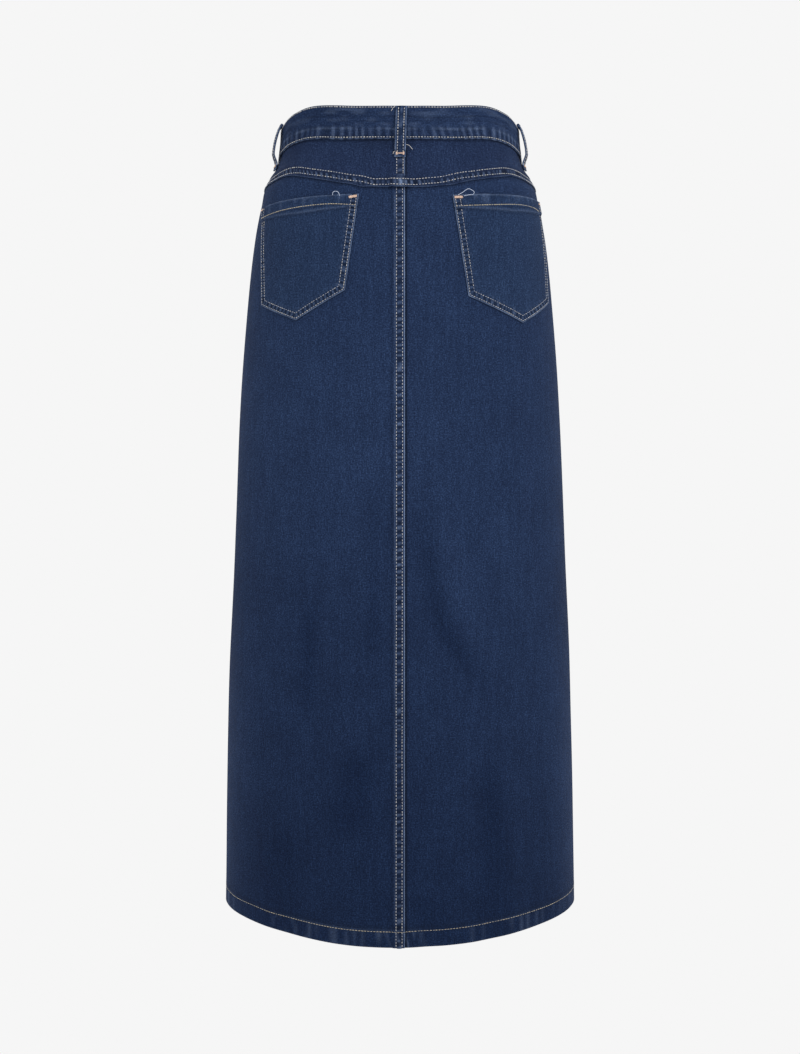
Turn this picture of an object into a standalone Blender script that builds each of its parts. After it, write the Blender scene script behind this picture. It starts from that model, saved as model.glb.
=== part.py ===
"""Long denim skirt of jeans cut, hollow, in the shape it has when it is worn.

Blender 4.5, metres, +Z up. The origin is where the wearer holds the skirt up: the middle of the
waist opening, level with the middle of the waistband at the centre back. -Y is the skirt's back
and +X the wearer's right.

Every piece is laid out on the skirt's form. A place on the form has three numbers:
  around  0 at the centre back, 1 at the side seam, 2 at the centre front; negative on the left
  below   how far under the waistband's top edge at the centre back
  out     how far outside the form, along its normal
Cloth is an open sheet in the middle of its wall, and Solidify gives it its thickness.
"""

import math
from collections import namedtuple
from functools import lru_cache

import bmesh
import bpy
from mathutils import Matrix, Vector

MM = 0.001

# Cloth and seams
CLOTH = 1.2 * MM  # stretch denim with its nap
GAP = 0.3 * MM  # between two layers
LAYER = CLOTH + GAP  # from one layer's middle to the next
LAP = 8 * MM  # how far a lapped edge passes the middle of its seam
BACK_SLOPE = 6 * MM  # where the left back comes down beside the lap
FLY_SLOPE = 9 * MM  # where the right front comes up beside the fly
YOKE_LAP = 12 * MM  # how far the yoke covers the panel's top edge
BAND_GRIP = 10 * MM  # how much of the skirt's top edge is inside the waistband
BAND_LAYER = LAYER + 0.15 * MM  # the band's two sides are a little freer
HEM_TURN = 20 * MM  # the hem, turned up once

# Waistband
ORIGIN_BELOW = 18 * MM  # the middle of the band's height at the centre back
UNDERLAP = 36 * MM  # how much of the band's right end is under the left one
UNDERLAP_DROP = 5 * MM  # how far inside the left end it lies there
UNDERLAP_EASE = 60 * MM  # the height in which the right front comes out again under the band

# Zip, on the left of the centre front beyond the right front's edge
ZIP_CENTRE = -14 * MM
ZIP_START = 3 * MM  # below the waistband
ZIP_LENGTH = 150 * MM
ZIP_TAPE = 28 * MM
ZIP_CLOTH = 0.8 * MM
ZIP_COIL = Vector((4.6, 2.0, 0)) * MM  # width, height
SLIDER_METAL = 1.2 * MM
SLIDER_ROOM = 0.4 * MM

# Button
BUTTON_AT = -7 * MM
BUTTON_RADIUS = 8.5 * MM
SHANK_RADIUS = 2.4 * MM
BUTTONHOLE_WIDTH = 5.6 * MM
BUTTONHOLE_LENGTH = 19 * MM

# Belt loops
LOOP_WIDTH = 12 * MM
LOOP_CLOTH = 2.2 * MM

# Back pockets
POCKET_HEM = 13 * MM
POCKET_CLEAR = 0.35 * MM  # more room over the panel's facets

# The form's level sections, in mm: each half is a superellipse of these depths and squareness.
Section = namedtuple("Section", "below half_width back_depth front_depth squareness")
SECTIONS = [
    Section(-6, 133, 100, 96, 2.55),
    Section(0, 133, 100, 96, 2.55),
    Section(40, 136, 102, 98, 2.50),
    Section(52, 142.5, 105, 100, 2.45),
    Section(66, 152, 109, 103, 2.40),
    Section(84, 157, 113, 107, 2.35),
    Section(140, 167, 121, 113, 2.25),
    Section(200, 174, 127, 116, 2.15),
    Section(300, 182, 131, 119, 2.10),
    Section(450, 190, 134, 124, 2.05),
    Section(650, 198, 139, 131, 1.95),
    Section(904, 204.5, 145, 140, 1.88),
]

# Lines that run round the skirt, in mm under the waistband's top at the centre back
Mark = namedtuple("Mark", "around below")
BAND_TOP = [Mark(0, 0), Mark(0.22, -0.5), Mark(0.5, -4), Mark(0.65, -1.3), Mark(0.82, 6.8),
            Mark(1, 11), Mark(1.5, 17), Mark(2, 19)]
BAND_FOOT = [Mark(0, 36), Mark(0.28, 35.3), Mark(0.53, 32), Mark(0.66, 34), Mark(0.8, 39),
             Mark(1, 45), Mark(1.5, 51), Mark(2, 53)]
YOKE_FOOT = [Mark(0, 88.5), Mark(0.15, 87), Mark(0.25, 82.5), Mark(0.33, 78.8), Mark(0.47, 73.3),
             Mark(0.56, 70.6), Mark(0.64, 70.2), Mark(0.74, 71.6), Mark(1, 75)]
HEM = [Mark(0, 905.3), Mark(0.24, 904.6), Mark(0.5, 901.5), Mark(0.8, 898), Mark(2, 898)]

# Back pockets' corners, in mm: distance from the centre back, below
Pocket = namedtuple("Pocket", "side inner_top outer_top inner_foot point outer_foot")
POCKETS = [
    Pocket("left", (44.9, 95.3), (178.3, 100.8), (59.4, 197.1), (116.0, 227.3), (169.3, 206.1)),
    Pocket("right", (56.4, 97.1), (193.0, 90.5), (75.0, 202.9), (141.5, 226.9), (193.2, 198.5)),
]

# Belt loops, in mm: how far below the band's top they start and end, and the room behind them
Loop = namedtuple("Loop", "name around start end room")
LOOPS = [
    Loop("belt_loop_centre_back", 0, 0.6, 55, 5.2),
    Loop("belt_loop_side_left", -0.83, 0.6, 51, 6.2),
    Loop("belt_loop_side_right", 0.83, 0.6, 51, 6.2),
    Loop("belt_loop_front_left", -1.62, 0.6, 51, 6.2),
    Loop("belt_loop_front_right", 1.62, 0.6, 51, 6.2),
]
# How far along a loop each share of that room is reached
LOOP_BOW = [(0, 0), (0.07, 0), (0.2, 0.36), (0.36, 0.68), (0.54, 0.9), (0.7, 1), (0.8, 0.9),
            (0.9, 0.1), (0.94, 0), (1, 0)]

QUARTER_STEPS = 160


def between(x, xs, ys):
    """Monotone cubic through a table, straight on past its ends."""
    steps = [b - a for a, b in zip(xs, xs[1:])]
    slopes = [(d - c) / h for c, d, h in zip(ys, ys[1:], steps)]
    tangents = [slopes[0]]
    for before, after in zip(slopes, slopes[1:]):
        tangents.append(2 * before * after / (before + after) if before * after > 0 else 0)
    tangents.append(slopes[-1])
    if x <= xs[0]:
        return ys[0] + slopes[0] * (x - xs[0])
    if x >= xs[-1]:
        return ys[-1] + slopes[-1] * (x - xs[-1])
    k = max(i for i in range(len(steps)) if xs[i] <= x)
    t = (x - xs[k]) / steps[k]
    return (
        (2 * t**3 - 3 * t**2 + 1) * ys[k]
        + (t**3 - 2 * t**2 + t) * steps[k] * tangents[k]
        + (3 * t**2 - 2 * t**3) * ys[k + 1]
        + (t**3 - t**2) * steps[k] * tangents[k + 1]
    )


def on_line(line, around):
    """How far below the top a line lies here, in metres."""
    return between(abs(around), [m.around for m in line], [m.below for m in line]) * MM


def ramp(x, start, end):
    """0 before start and 1 past end, straight between them."""
    return min(1.0, max(0.0, (x - start) / (end - start)))


def shares(count):
    """Even shares from 0 to 1, both included."""
    return [k / count for k in range(count + 1)]


@lru_cache(maxsize=None)
def quarter(below, is_front):
    """A quarter of a level section from its centre to its side: points and running lengths."""
    heights = [row.below * MM for row in SECTIONS]
    width, back, front, squareness = (
        between(below, heights, column) for column in list(zip(*SECTIONS))[1:]
    )
    depth = front if is_front else -back
    points = []
    for share in shares(QUARTER_STEPS):
        turn = math.pi / 2 * share
        x = width * math.sin(turn) ** (2 / squareness)
        y = depth * abs(math.cos(turn)) ** (2 / squareness)
        points.append((x * MM, y * MM))
    lengths = [0.0]
    for a, b in zip(points, points[1:]):
        lengths.append(lengths[-1] + math.dist(a, b))
    return points, lengths


def quarter_length(below, is_front=False):
    return quarter(below, is_front)[1][-1]


def form(around, below):
    """A point of the form."""
    around = (around + 2) % 4 - 2
    share = abs(around)
    is_front = share > 1
    points, lengths = quarter(below, is_front)
    distance = lengths[-1] * (2 - share if is_front else share)
    k = 1
    while k < QUARTER_STEPS and lengths[k] < distance:
        k += 1
    t = (distance - lengths[k - 1]) / (lengths[k] - lengths[k - 1])
    (x0, y0), (x1, y1) = points[k - 1], points[k]
    side = math.copysign(1, around)
    return Vector((side * (x0 + t * (x1 - x0)), y0 + t * (y1 - y0), ORIGIN_BELOW - below))


def place(around, below, out=0.0):
    """A point this far outside the form, along its normal."""
    small = 0.015
    step = 2 * MM
    across = form(around + small, below) - form(around - small, below)
    down = form(around, below + step) - form(around, below - step)
    return form(around, below) + out * down.cross(across).normalized()


def back_place(x, below, out=0.0):
    """The same, x metres round from the centre back, to the right if positive."""
    return place(x / quarter_length(below), below, out)


def front_place(x, below, out=0.0):
    """The same, x metres round from the centre front, to the right if positive."""
    return place(2 - x / quarter_length(below, True), below, out)


def add_material(name, hex_colour, roughness=0.85, metallic=0.0):
    material = bpy.data.materials.new(name)
    material.use_nodes = True
    shader = material.node_tree.nodes["Principled BSDF"]
    channels = [int(hex_colour[k : k + 2], 16) / 255 for k in (0, 2, 4)]
    linear = [c / 12.92 if c <= 0.04045 else ((c + 0.055) / 1.055) ** 2.4 for c in channels]
    shader.inputs["Base Color"].default_value = (*linear, 1)
    shader.inputs["Roughness"].default_value = roughness
    shader.inputs["Metallic"].default_value = metallic
    return material


def add_object(name, shape, material=None, collection=None):
    """An object from a bmesh, in the skirt's collection unless another is given."""
    mesh = bpy.data.meshes.new(name)
    shape.to_mesh(mesh)
    shape.free()
    piece = bpy.data.objects.new(name, mesh)
    (collection or skirt).objects.link(piece)
    if material:
        mesh.materials.append(material)
    return piece


def add_cloth(name, columns, rows, at, material, thickness=CLOTH, is_cut=None):
    """A sheet of columns by rows, laid where at(column, row) says, with a wall of this thickness.

    is_cut(column, row) is true for a cell that is cut away.
    """
    sheet = bmesh.new()
    corners = [[sheet.verts.new(at(column, row)) for column in columns] for row in rows]
    for j, row in enumerate(rows[:-1]):
        for i, column in enumerate(columns[:-1]):
            if is_cut and is_cut(column, row):
                continue
            over, under = corners[j], corners[j + 1]
            sheet.faces.new((over[i], under[i], under[i + 1], over[i + 1]))
    loose = [v for v in sheet.verts if not v.link_faces]
    bmesh.ops.delete(sheet, geom=loose, context="VERTS")
    bmesh.ops.recalc_face_normals(sheet, faces=sheet.faces)
    piece = add_object(name, sheet, material)
    wall = piece.modifiers.new("wall", "SOLIDIFY")
    wall.thickness = thickness
    wall.offset = 0
    wall.use_even_offset = True
    return piece


# A column's distance from its centre seam: its start, and a share of what is left to the side.
Column = namedtuple("Column", "start share")
BACK_START = LAP + GAP + BACK_SLOPE
FLY_START = LAP + GAP + FLY_SLOPE
BACK_EDGE = [Column(-LAP, 0), Column(0, 0), Column(LAP + GAP, 0)]
FLY_EDGE = [Column(-LAP, 0), Column(0, 0), Column(LAP + GAP, 0)]
BACK_WIDTH = [Column(BACK_START, share) for share in shares(14)]
FRONT_WIDTH = [Column(FLY_START, share) for share in shares(12)]


def distance_of(column, below, is_front):
    width = quarter_length(below, is_front) - GAP / 2
    return column.start + column.share * (width - column.start)


def around_of(column, is_front):
    """About where a column is, for the lines round the skirt."""
    return 2 - column.share if is_front else column.share


def is_lap(column):
    """True for a cell of the lap or the slope beside it."""
    return column.start < BACK_START or (column.start < FLY_START and column in FLY_EDGE)


def side_sign(side):
    return 1 if side == "right" else -1


def back_lap(distance, side):
    """1 where the left back is on the right one's edge."""
    return 1 - ramp(distance, LAP + GAP, BACK_START) if side == "left" else 0.0


def fly_drop(distance, below, side):
    """How far inside the form the right front is, to be under the left one."""
    if side == "left":
        return 0.0
    foot = on_line(BAND_FOOT, 2)
    deep = UNDERLAP_DROP + ramp(below, foot, foot + UNDERLAP_EASE) * (LAYER - UNDERLAP_DROP)
    return deep * (1 - ramp(distance, LAP + GAP, FLY_START))


# A row of a panel: a share of the way from its seam to its hem, how far it is from there, and
# how many layers inside.
Row = namedtuple("Row", "share below inside", defaults=(0,))
SKIRT_HEIGHTS = [0.035, 0.065, 0.1, 0.14, 0.19, 0.26, 0.36, 0.5, 0.66, 0.83]
SKIRT_ROWS = [Row(share, 0) for share in SKIRT_HEIGHTS]
FRONT_TOP_ROWS = [Row(share, 0) for share in (0.01, 0.022, 0.035, 0.055, 0.075)]
HEM_ROWS = [Row(1, -HEM_TURN), Row(1, 0), Row(1, 0, 1), Row(1, -HEM_TURN, 1)]


def add_back_panel(side):
    """From under the yoke down to the hem, which is turned up inside."""
    rows = [Row(0, -YOKE_LAP), Row(0, 0), *SKIRT_ROWS, *HEM_ROWS]

    def at(column, row):
        seam, hem = on_line(YOKE_FOOT, column.share), on_line(HEM, column.share) - CLOTH / 2
        below = seam + row.share * (hem - seam) + row.below
        distance = distance_of(column, below, False)
        out = LAYER * (back_lap(distance, side) - row.inside)
        return back_place(side_sign(side) * distance, below, out)

    def is_cut(column, row):
        """The lapping edge isn't turned up with the rest."""
        return side == "left" and column in BACK_EDGE and row in HEM_ROWS[1:]

    columns = BACK_EDGE + BACK_WIDTH
    add_cloth(f"back_panel_{side}", columns, rows, at, panel_denim, is_cut=is_cut)


def add_front_panel(side):
    """From inside the waistband down to the hem, which is turned up inside."""
    rows = [Row(0, -BAND_GRIP), Row(0, GAP), *FRONT_TOP_ROWS, *SKIRT_ROWS[2:], *HEM_ROWS]

    def at(column, row):
        around = 2 - column.share
        seam, hem = on_line(BAND_FOOT, around), on_line(HEM, around) - CLOTH / 2
        below = seam + row.share * (hem - seam) + row.below
        distance = distance_of(column, below, True)
        out = -fly_drop(distance, below, side) - LAYER * row.inside
        return front_place(side_sign(side) * distance, below, out)

    def is_cut(column, row):
        """The fly's edge isn't turned up with the rest."""
        return side == "left" and column in FLY_EDGE and row in HEM_ROWS[1:]

    columns = FLY_EDGE + FRONT_WIDTH
    add_cloth(f"front_panel_{side}", columns, rows, at, panel_denim, is_cut=is_cut)


def add_yoke(side):
    """A back yoke, from inside the waistband to where it laps the panel."""
    in_band = Row(0, -BAND_GRIP)
    rows = [in_band, Row(0, GAP), Row(0.35, 0), Row(0.7, 0), Row(1, 0)]
    over_panel = [Row(1, BACK_SLOPE), Row(1, BACK_SLOPE + YOKE_LAP)]

    def at(column, row):
        seam, foot = on_line(BAND_FOOT, column.share), on_line(YOKE_FOOT, column.share)
        step = foot - YOKE_LAP - GAP - BACK_SLOPE
        below = seam + row.share * (step - seam) + row.below
        distance = distance_of(column, below, False)
        layers = back_lap(distance, side)
        if row in over_panel:
            layers += 2 - ramp(distance, LAP + GAP, BACK_START)
        return back_place(side_sign(side) * distance, below, LAYER * layers)

    def is_cut(column, row):
        """The lap is trimmed away inside the waistband."""
        return side == "left" and column in BACK_EDGE and row == in_band

    columns = BACK_EDGE + BACK_WIDTH
    add_cloth(f"back_yoke_{side}", columns, rows + over_panel, at, yoke_denim, is_cut=is_cut)


def add_waistband():
    """One strip folded lengthwise over the skirt's top edge, open at the centre front."""
    path = [("left", True, column) for column in FLY_EDGE + FRONT_WIDTH]
    path += [("left", False, column) for column in BACK_WIDTH[-2::-1]]
    path += [("right", False, column) for column in BACK_WIDTH[:-1]]
    path += [("right", True, column) for column in FRONT_WIDTH[::-1] + FLY_EDGE[::-1]]
    path += [("right", True, Column(LAP - UNDERLAP, 0))]

    # Across the strip: share of the height, then how far below there, then layers out
    fold = BAND_LAYER + CLOTH / 2
    crest = fold - BAND_LAYER * math.sqrt(3) / 2
    across = [(1, 0, 1), (1, -BAND_GRIP, 1), (0, fold, 1), (0, crest, 0.5)]
    across += [(0, crest, -0.5), (0, fold, -1), (1, -BAND_GRIP, -1), (1, 0, -1)]

    def at(column, row):
        side, is_front, column = column
        share, extra, layers = row
        around = around_of(column, is_front)
        top, foot = on_line(BAND_TOP, around), on_line(BAND_FOOT, around)
        below = top + share * (foot - top) + extra
        distance = distance_of(column, below, is_front)
        out = BAND_LAYER * layers
        if is_front:
            out -= fly_drop(distance, 0, side)
            return front_place(side_sign(side) * distance, below, out)
        return back_place(side_sign(side) * distance, below, out)

    band = add_cloth("waistband", path, across, at, band_denim)
    below = (on_line(BAND_TOP, 2) + on_line(BAND_FOOT, 2)) / 2
    slot = bmesh.new()
    size = Vector((BUTTONHOLE_LENGTH, 7 * MM, BUTTONHOLE_WIDTH))
    bmesh.ops.create_cube(slot, size=1, matrix=Matrix.Diagonal(size).to_4x4())
    cutter = add_object("buttonhole_cutter", slot, collection=cutters)
    cutter.matrix_world = Matrix.Translation(front_place(BUTTON_AT, below))
    cutter.hide_render = True
    cutter.display_type = "WIRE"
    hole = band.modifiers.new("buttonhole", "BOOLEAN")
    hole.operation = "DIFFERENCE"
    hole.solver = "EXACT"
    hole.object = cutter


def add_pocket(pocket):
    """A patch pocket on the back panel, open at the top, with its hem turned inside."""
    inner_top, outer_top = Vector(pocket.inner_top) * MM, Vector(pocket.outer_top) * MM
    foot = [Vector(corner) * MM for corner in (pocket.inner_foot, pocket.point, pocket.outer_foot)]
    depth = (foot[0] - inner_top).length
    hem = POCKET_HEM / depth
    # Down the pocket, round the turned hem first: share of its depth, layers over the panel
    step = 2.5 * MM / depth
    rows = [(hem, 1), (0, 1), (0, 2), (hem, 2), (hem + step, 1)]
    rows += [(hem + step + (1 - hem - step) * share, 1) for share in (0.2, 0.4, 0.6, 0.8, 1)]

    def at(share, row):
        down, layers = row
        top = inner_top.lerp(outer_top, share)
        half = share * 2
        bottom = foot[0].lerp(foot[1], half) if half <= 1 else foot[1].lerp(foot[2], half - 1)
        distance, below = top.lerp(bottom, down)
        return back_place(side_sign(pocket.side) * distance, below, LAYER * layers + POCKET_CLEAR)

    add_cloth(f"back_pocket_{pocket.side}", shares(8), rows, at, pocket_denim)


def add_loop(loop):
    """A belt loop: a folded strip, sewn down at both ends and standing off between them."""
    top = on_line(BAND_TOP, loop.around)
    on_band = BAND_LAYER + CLOTH / 2 + GAP + LOOP_CLOTH / 2
    on_skirt = on_band - LAYER if abs(loop.around) > 1 else on_band

    def at(x, row):
        along, bow = row
        below = top + (loop.start + along * (loop.end - loop.start)) * MM
        out = on_band + ramp(along, 0.72, 0.9) * (on_skirt - on_band) + bow * loop.room * MM
        around = loop.around + x / quarter_length(below, abs(loop.around) > 1)
        return place(around, below, out)

    half = LOOP_WIDTH / 2
    add_cloth(loop.name, [-half, 0, half], LOOP_BOW, at, loop_denim, LOOP_CLOTH)


def zip_depth(below):
    """How far inside the form the zip's tape is."""
    return fly_drop(0, below, "right") + LAYER


def add_zip():
    """Both tapes and the closed coil, behind the fly."""
    half, wall = ZIP_TAPE / 2, ZIP_CLOTH / 2
    foot, crest = ZIP_COIL.x / 2, ZIP_COIL.x / 3
    ring = [(-half, -wall), (half, -wall), (half, wall), (foot, wall), (crest, ZIP_COIL.y)]
    ring += [(-crest, ZIP_COIL.y), (-foot, wall), (-half, wall)]
    start = on_line(BAND_FOOT, 2) + ZIP_START
    shape = bmesh.new()
    loops = []
    for share in (0, 0.03, 0.06, 0.1, 0.15, 0.2, 0.3, 0.4, 0.6, 0.8, 1):
        below = start + share * ZIP_LENGTH
        loops.append([
            shape.verts.new(front_place(ZIP_CENTRE + x, below, y - zip_depth(below)))
            for x, y in ring
        ])
    for upper, lower in zip(loops, loops[1:]):
        for k in range(len(ring)):
            n = (k + 1) % len(ring)
            shape.faces.new((upper[k], upper[n], lower[n], lower[k]))
    shape.faces.new(loops[0])
    shape.faces.new(loops[-1])
    bmesh.ops.recalc_face_normals(shape, faces=shape.faces)
    add_object("fly_zip", shape, zip_tape)


def add_slider():
    """The slider at the top of the zip, in one with its tab, which hangs flat under the fly."""
    start = on_line(BAND_FOOT, 2) + ZIP_START
    under = -ZIP_CLOTH / 2 - SLIDER_ROOM - SLIDER_METAL / 2
    over = ZIP_COIL.y + SLIDER_ROOM + SLIDER_METAL / 2
    neck = -0.3 * MM - SLIDER_METAL / 2
    # Half width, below the zip's top, out from the tape
    rows = [(4, 9, under), (4, 3, under), (2.2, neck / MM, under), (2.2, neck / MM, over)]
    rows += [(4, 3, over), (4, 8, over), (1.6, 9.5, over), (1.6, 12, over), (2.8, 15, over)]
    rows += [(3.2, 26, over), (2, 28, over)]

    def at(side, row):
        half, below, out = row
        below = start + below * MM
        return front_place(ZIP_CENTRE + side * half * MM, below, out - zip_depth(below))

    add_cloth("zip_slider", [-1, 1], rows, at, zip_metal, SLIDER_METAL)


def add_button():
    """A metal shank button through the buttonhole."""
    below = (on_line(BAND_TOP, 2) + on_line(BAND_FOOT, 2)) / 2
    face = BAND_LAYER + CLOTH / 2 + 2 * GAP
    shank_foot = -UNDERLAP_DROP + BAND_LAYER + CLOTH / 2 + 0.1 * MM
    # Radius, out from the form
    profile = [(0, shank_foot), (SHANK_RADIUS, shank_foot), (SHANK_RADIUS, face)]
    profile += [(BUTTON_RADIUS - 0.8 * MM, face), (BUTTON_RADIUS, face + 0.7 * MM)]
    profile += [(BUTTON_RADIUS, face + 1.3 * MM), (BUTTON_RADIUS - 0.7 * MM, face + 2 * MM)]
    profile += [(5.6 * MM, face + 2.1 * MM), (5 * MM, face + 1.6 * MM), (0, face + 1.9 * MM)]
    line = bmesh.new()
    points = [line.verts.new((radius, 0, height)) for radius, height in profile]
    for a, b in zip(points, points[1:]):
        line.edges.new((a, b))
    button = add_object("waist_button", line, button_metal)
    turn = button.modifiers.new("turned", "SCREW")
    turn.axis = "Z"
    turn.steps = 28
    turn.render_steps = 28
    turn.use_merge_vertices = True
    turn.merge_threshold = 0.00001
    turn.use_normal_calculate = True
    centre = front_place(BUTTON_AT, below)
    outward = (front_place(BUTTON_AT, below, 0.01) - centre).normalized()
    turned = outward.to_track_quat("Z", "Y").to_matrix().to_4x4()
    button.matrix_world = Matrix.Translation(centre) @ turned


for old in list(bpy.data.objects):
    bpy.data.objects.remove(old)
skirt = bpy.data.collections.new("denim_skirt")
bpy.context.scene.collection.children.link(skirt)
cutters = bpy.data.collections.new("cutters")
bpy.context.scene.collection.children.link(cutters)

panel_denim = add_material("denim_panel", "223049")
yoke_denim = add_material("denim_yoke", "24314c")
pocket_denim = add_material("denim_pocket", "263450")
band_denim = add_material("denim_band", "28334d")
loop_denim = add_material("denim_loop", "2b3650")
zip_tape = add_material("zip_tape", "1c2436", 0.8)
zip_metal = add_material("zip_brass", "a8874e", 0.35, 1)
button_metal = add_material("button_antique_brass", "8f7448", 0.4, 1)

add_waistband()
for side_name in ("left", "right"):
    add_yoke(side_name)
    add_back_panel(side_name)
    add_front_panel(side_name)
for back_pocket in POCKETS:
    add_pocket(back_pocket)
for belt_loop in LOOPS:
    add_loop(belt_loop)
add_zip()
add_slider()
add_button()
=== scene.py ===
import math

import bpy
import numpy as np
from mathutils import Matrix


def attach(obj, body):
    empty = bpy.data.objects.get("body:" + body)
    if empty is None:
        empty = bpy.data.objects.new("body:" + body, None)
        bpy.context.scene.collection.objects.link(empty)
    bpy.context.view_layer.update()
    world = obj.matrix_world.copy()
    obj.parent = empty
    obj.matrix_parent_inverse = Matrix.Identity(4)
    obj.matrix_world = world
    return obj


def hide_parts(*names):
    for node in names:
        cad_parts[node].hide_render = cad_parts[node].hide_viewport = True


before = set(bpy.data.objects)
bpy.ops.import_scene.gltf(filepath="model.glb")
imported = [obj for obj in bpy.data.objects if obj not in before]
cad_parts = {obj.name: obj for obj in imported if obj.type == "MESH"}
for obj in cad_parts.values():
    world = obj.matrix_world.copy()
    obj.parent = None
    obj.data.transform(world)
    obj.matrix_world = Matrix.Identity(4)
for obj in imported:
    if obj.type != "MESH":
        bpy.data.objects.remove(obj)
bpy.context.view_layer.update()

# A long skirt of jeans cut in dark stretch denim, seen from its back. Metres, +Z up, -Y is the
# skirt's back and +X the wearer's right. Every piece is laid on the skirt's form, and a place
# on it has three numbers:
#   around  0 at the centre back, 1 at the side seam, 2 at the centre front; negative on the left
#   below   how far under the waistband's top edge at the centre back
#   out     how far outside the form, along its normal

MM = 0.001

# Cloth and seams, as the part has them
CLOTH = 1.2 * MM
GAP = 0.3 * MM
LAYER = CLOTH + GAP
LAP = 8 * MM
BACK_SLOPE = 6 * MM
FLY_SLOPE = 9 * MM
YOKE_LAP = 12 * MM
BAND_GRIP = 10 * MM
BAND_LAYER = LAYER + 0.15 * MM
HEM_TURN = 20 * MM
SEAM_ALLOWANCE = 11 * MM
ORIGIN_BELOW = 18 * MM
UNDERLAP = 36 * MM
UNDERLAP_DROP = 5 * MM
UNDERLAP_EASE = 60 * MM
ZIP_CENTRE = -14 * MM
ZIP_START = 3 * MM
ZIP_LENGTH = 150 * MM
ZIP_TAPE = 28 * MM
BUTTON_AT = -7 * MM
POCKET_HEM = 13 * MM
LOOP_WIDTH = 12 * MM
LOOP_CLOTH = 2.0 * MM
BAND_FOOT_FRONT = 53 * MM
BAND_HEIGHT = 36 * MM
RIGHT, LEFT = 1, -1
WORD = {LEFT: "left", RIGHT: "right"}
CENTRE_EDGE = {LEFT: -5.2 * MM, RIGHT: -7.6 * MM}  # of the backs, past the middle
FELL_END = 9.6 * MM  # where the left back lies on the form again

# How far each stitch row is from the edge that it follows; a loop's rows are from its middle
HEM_ROW = 17.9 * MM
YOKE_ROWS = (2.1 * MM, 8.1 * MM)
POCKET_ROWS = (2.0 * MM, 7.2 * MM)
BAND_TOP_ROW = 1.9 * MM
BAND_FOOT_ROW = 2.2 * MM
LOOP_ROW = 3.1 * MM

# Level sections of the form, in mm: below, half width, back depth, front depth, squareness
SECTIONS = np.array([
    (-6, 133, 100, 96, 2.55), (0, 133, 100, 96, 2.55), (40, 136, 102, 98, 2.50),
    (52, 142.5, 105, 100, 2.45), (66, 152, 109, 103, 2.40), (84, 157, 113, 107, 2.35),
    (140, 167, 121, 113, 2.25), (200, 174, 127, 116, 2.15), (300, 182, 131, 119, 2.10),
    (450, 190, 134, 124, 2.05), (650, 198, 139, 131, 1.95), (904, 204.5, 145, 140, 1.88),
])

# Lines round the skirt: around, and mm below the band's top at the centre back
BAND_TOP = [(0, 0), (0.22, -0.5), (0.5, -3.8), (0.65, -0.2), (0.82, 7.8), (1, 11.5), (1.5, 17),
            (2, 19)]
BAND_FOOT = [(0, 36), (0.28, 35.3), (0.53, 32), (0.66, 34), (0.8, 39), (1, 45), (1.5, 51), (2, 53)]
YOKE_FOOT = [(0, 88.5), (0.15, 87), (0.25, 82.5), (0.33, 78.8), (0.47, 73.3), (0.56, 70.6),
             (0.64, 70.2), (0.74, 71.6), (1, 75)]
HEM = [(0, 905.3), (0.24, 904.6), (0.5, 901.5), (0.8, 898), (2, 898)]


# ---------------------------------------------------------------- the form

def between(x, table):
    """Monotone cubic through a table, straight on past its ends."""
    xs, ys = np.array(table, float).T
    gaps, slopes = np.diff(xs), np.diff(ys) / np.diff(xs)
    tangents = np.concatenate([slopes[:1], np.zeros(len(xs) - 2), slopes[-1:]])
    before, after = slopes[:-1], slopes[1:]
    same = before * after > 0
    tangents[1:-1][same] = (2 * before * after)[same] / (before + after)[same]
    x = np.asarray(x, float)
    inside = np.clip(x, xs[0], xs[-1])
    k = np.clip(np.searchsorted(xs, inside, side="right") - 1, 0, len(gaps) - 1)
    t = (inside - xs[k]) / gaps[k]
    curve = (
        (2 * t**3 - 3 * t**2 + 1) * ys[k]
        + (t**3 - 2 * t**2 + t) * gaps[k] * tangents[k]
        + (3 * t**2 - 2 * t**3) * ys[k + 1]
        + (t**3 - t**2) * gaps[k] * tangents[k + 1]
    )
    past = np.minimum(x - xs[0], 0) * slopes[0] + np.maximum(x - xs[-1], 0) * slopes[-1]
    return curve + past


def on_line(line, around):
    """How far below the top a line lies here, in metres."""
    return between(np.abs(around), line) * MM


def yoke_foot(around):
    """The yoke's lower edge, which wanders a little, with a kink left of the centre back."""
    around = np.asarray(around, float)
    x = 230 * around
    wander = 0.7 * unevenness(x / 17, 0.5, 55)
    wander = wander + 0.9 * hump(x + 29, 6) - 1.1 * hump(x + 43, 9)
    return on_line(YOKE_FOOT, around) + wander * MM


def ease(x, start, end):
    """0 before start and 1 past end, smooth between them."""
    t = np.clip((x - start) / (end - start), 0, 1)
    return t * t * (3 - 2 * t)


def hump(x, width):
    """1 at 0, fading to nothing about twice this width away."""
    return np.exp(-((x / width) ** 2))


def unevenness(u, v, seed):
    """Smooth values from -1 to 1 that change over about one unit each way."""
    table = np.random.default_rng(seed).uniform(-1, 1, (64, 64))
    u, v = np.broadcast_arrays(np.asarray(u, float), np.asarray(v, float))
    i, j = np.floor(u).astype(int), np.floor(v).astype(int)
    a, b = ease(u - i, 0, 1), ease(v - j, 0, 1)
    upper = table[i % 64, j % 64] * (1 - a) + table[(i + 1) % 64, j % 64] * a
    lower = table[i % 64, (j + 1) % 64] * (1 - a) + table[(i + 1) % 64, (j + 1) % 64] * a
    return upper * (1 - b) + lower * b


LEVELS = np.arange(-16.0, 925.0)  # mm below the top at which the form is worked out
SHARE_STEPS = 480
SLOPE_ROUND, SLOPE_DOWN = 0.015, 2 * MM  # how far to each side the form's slope is read


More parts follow.
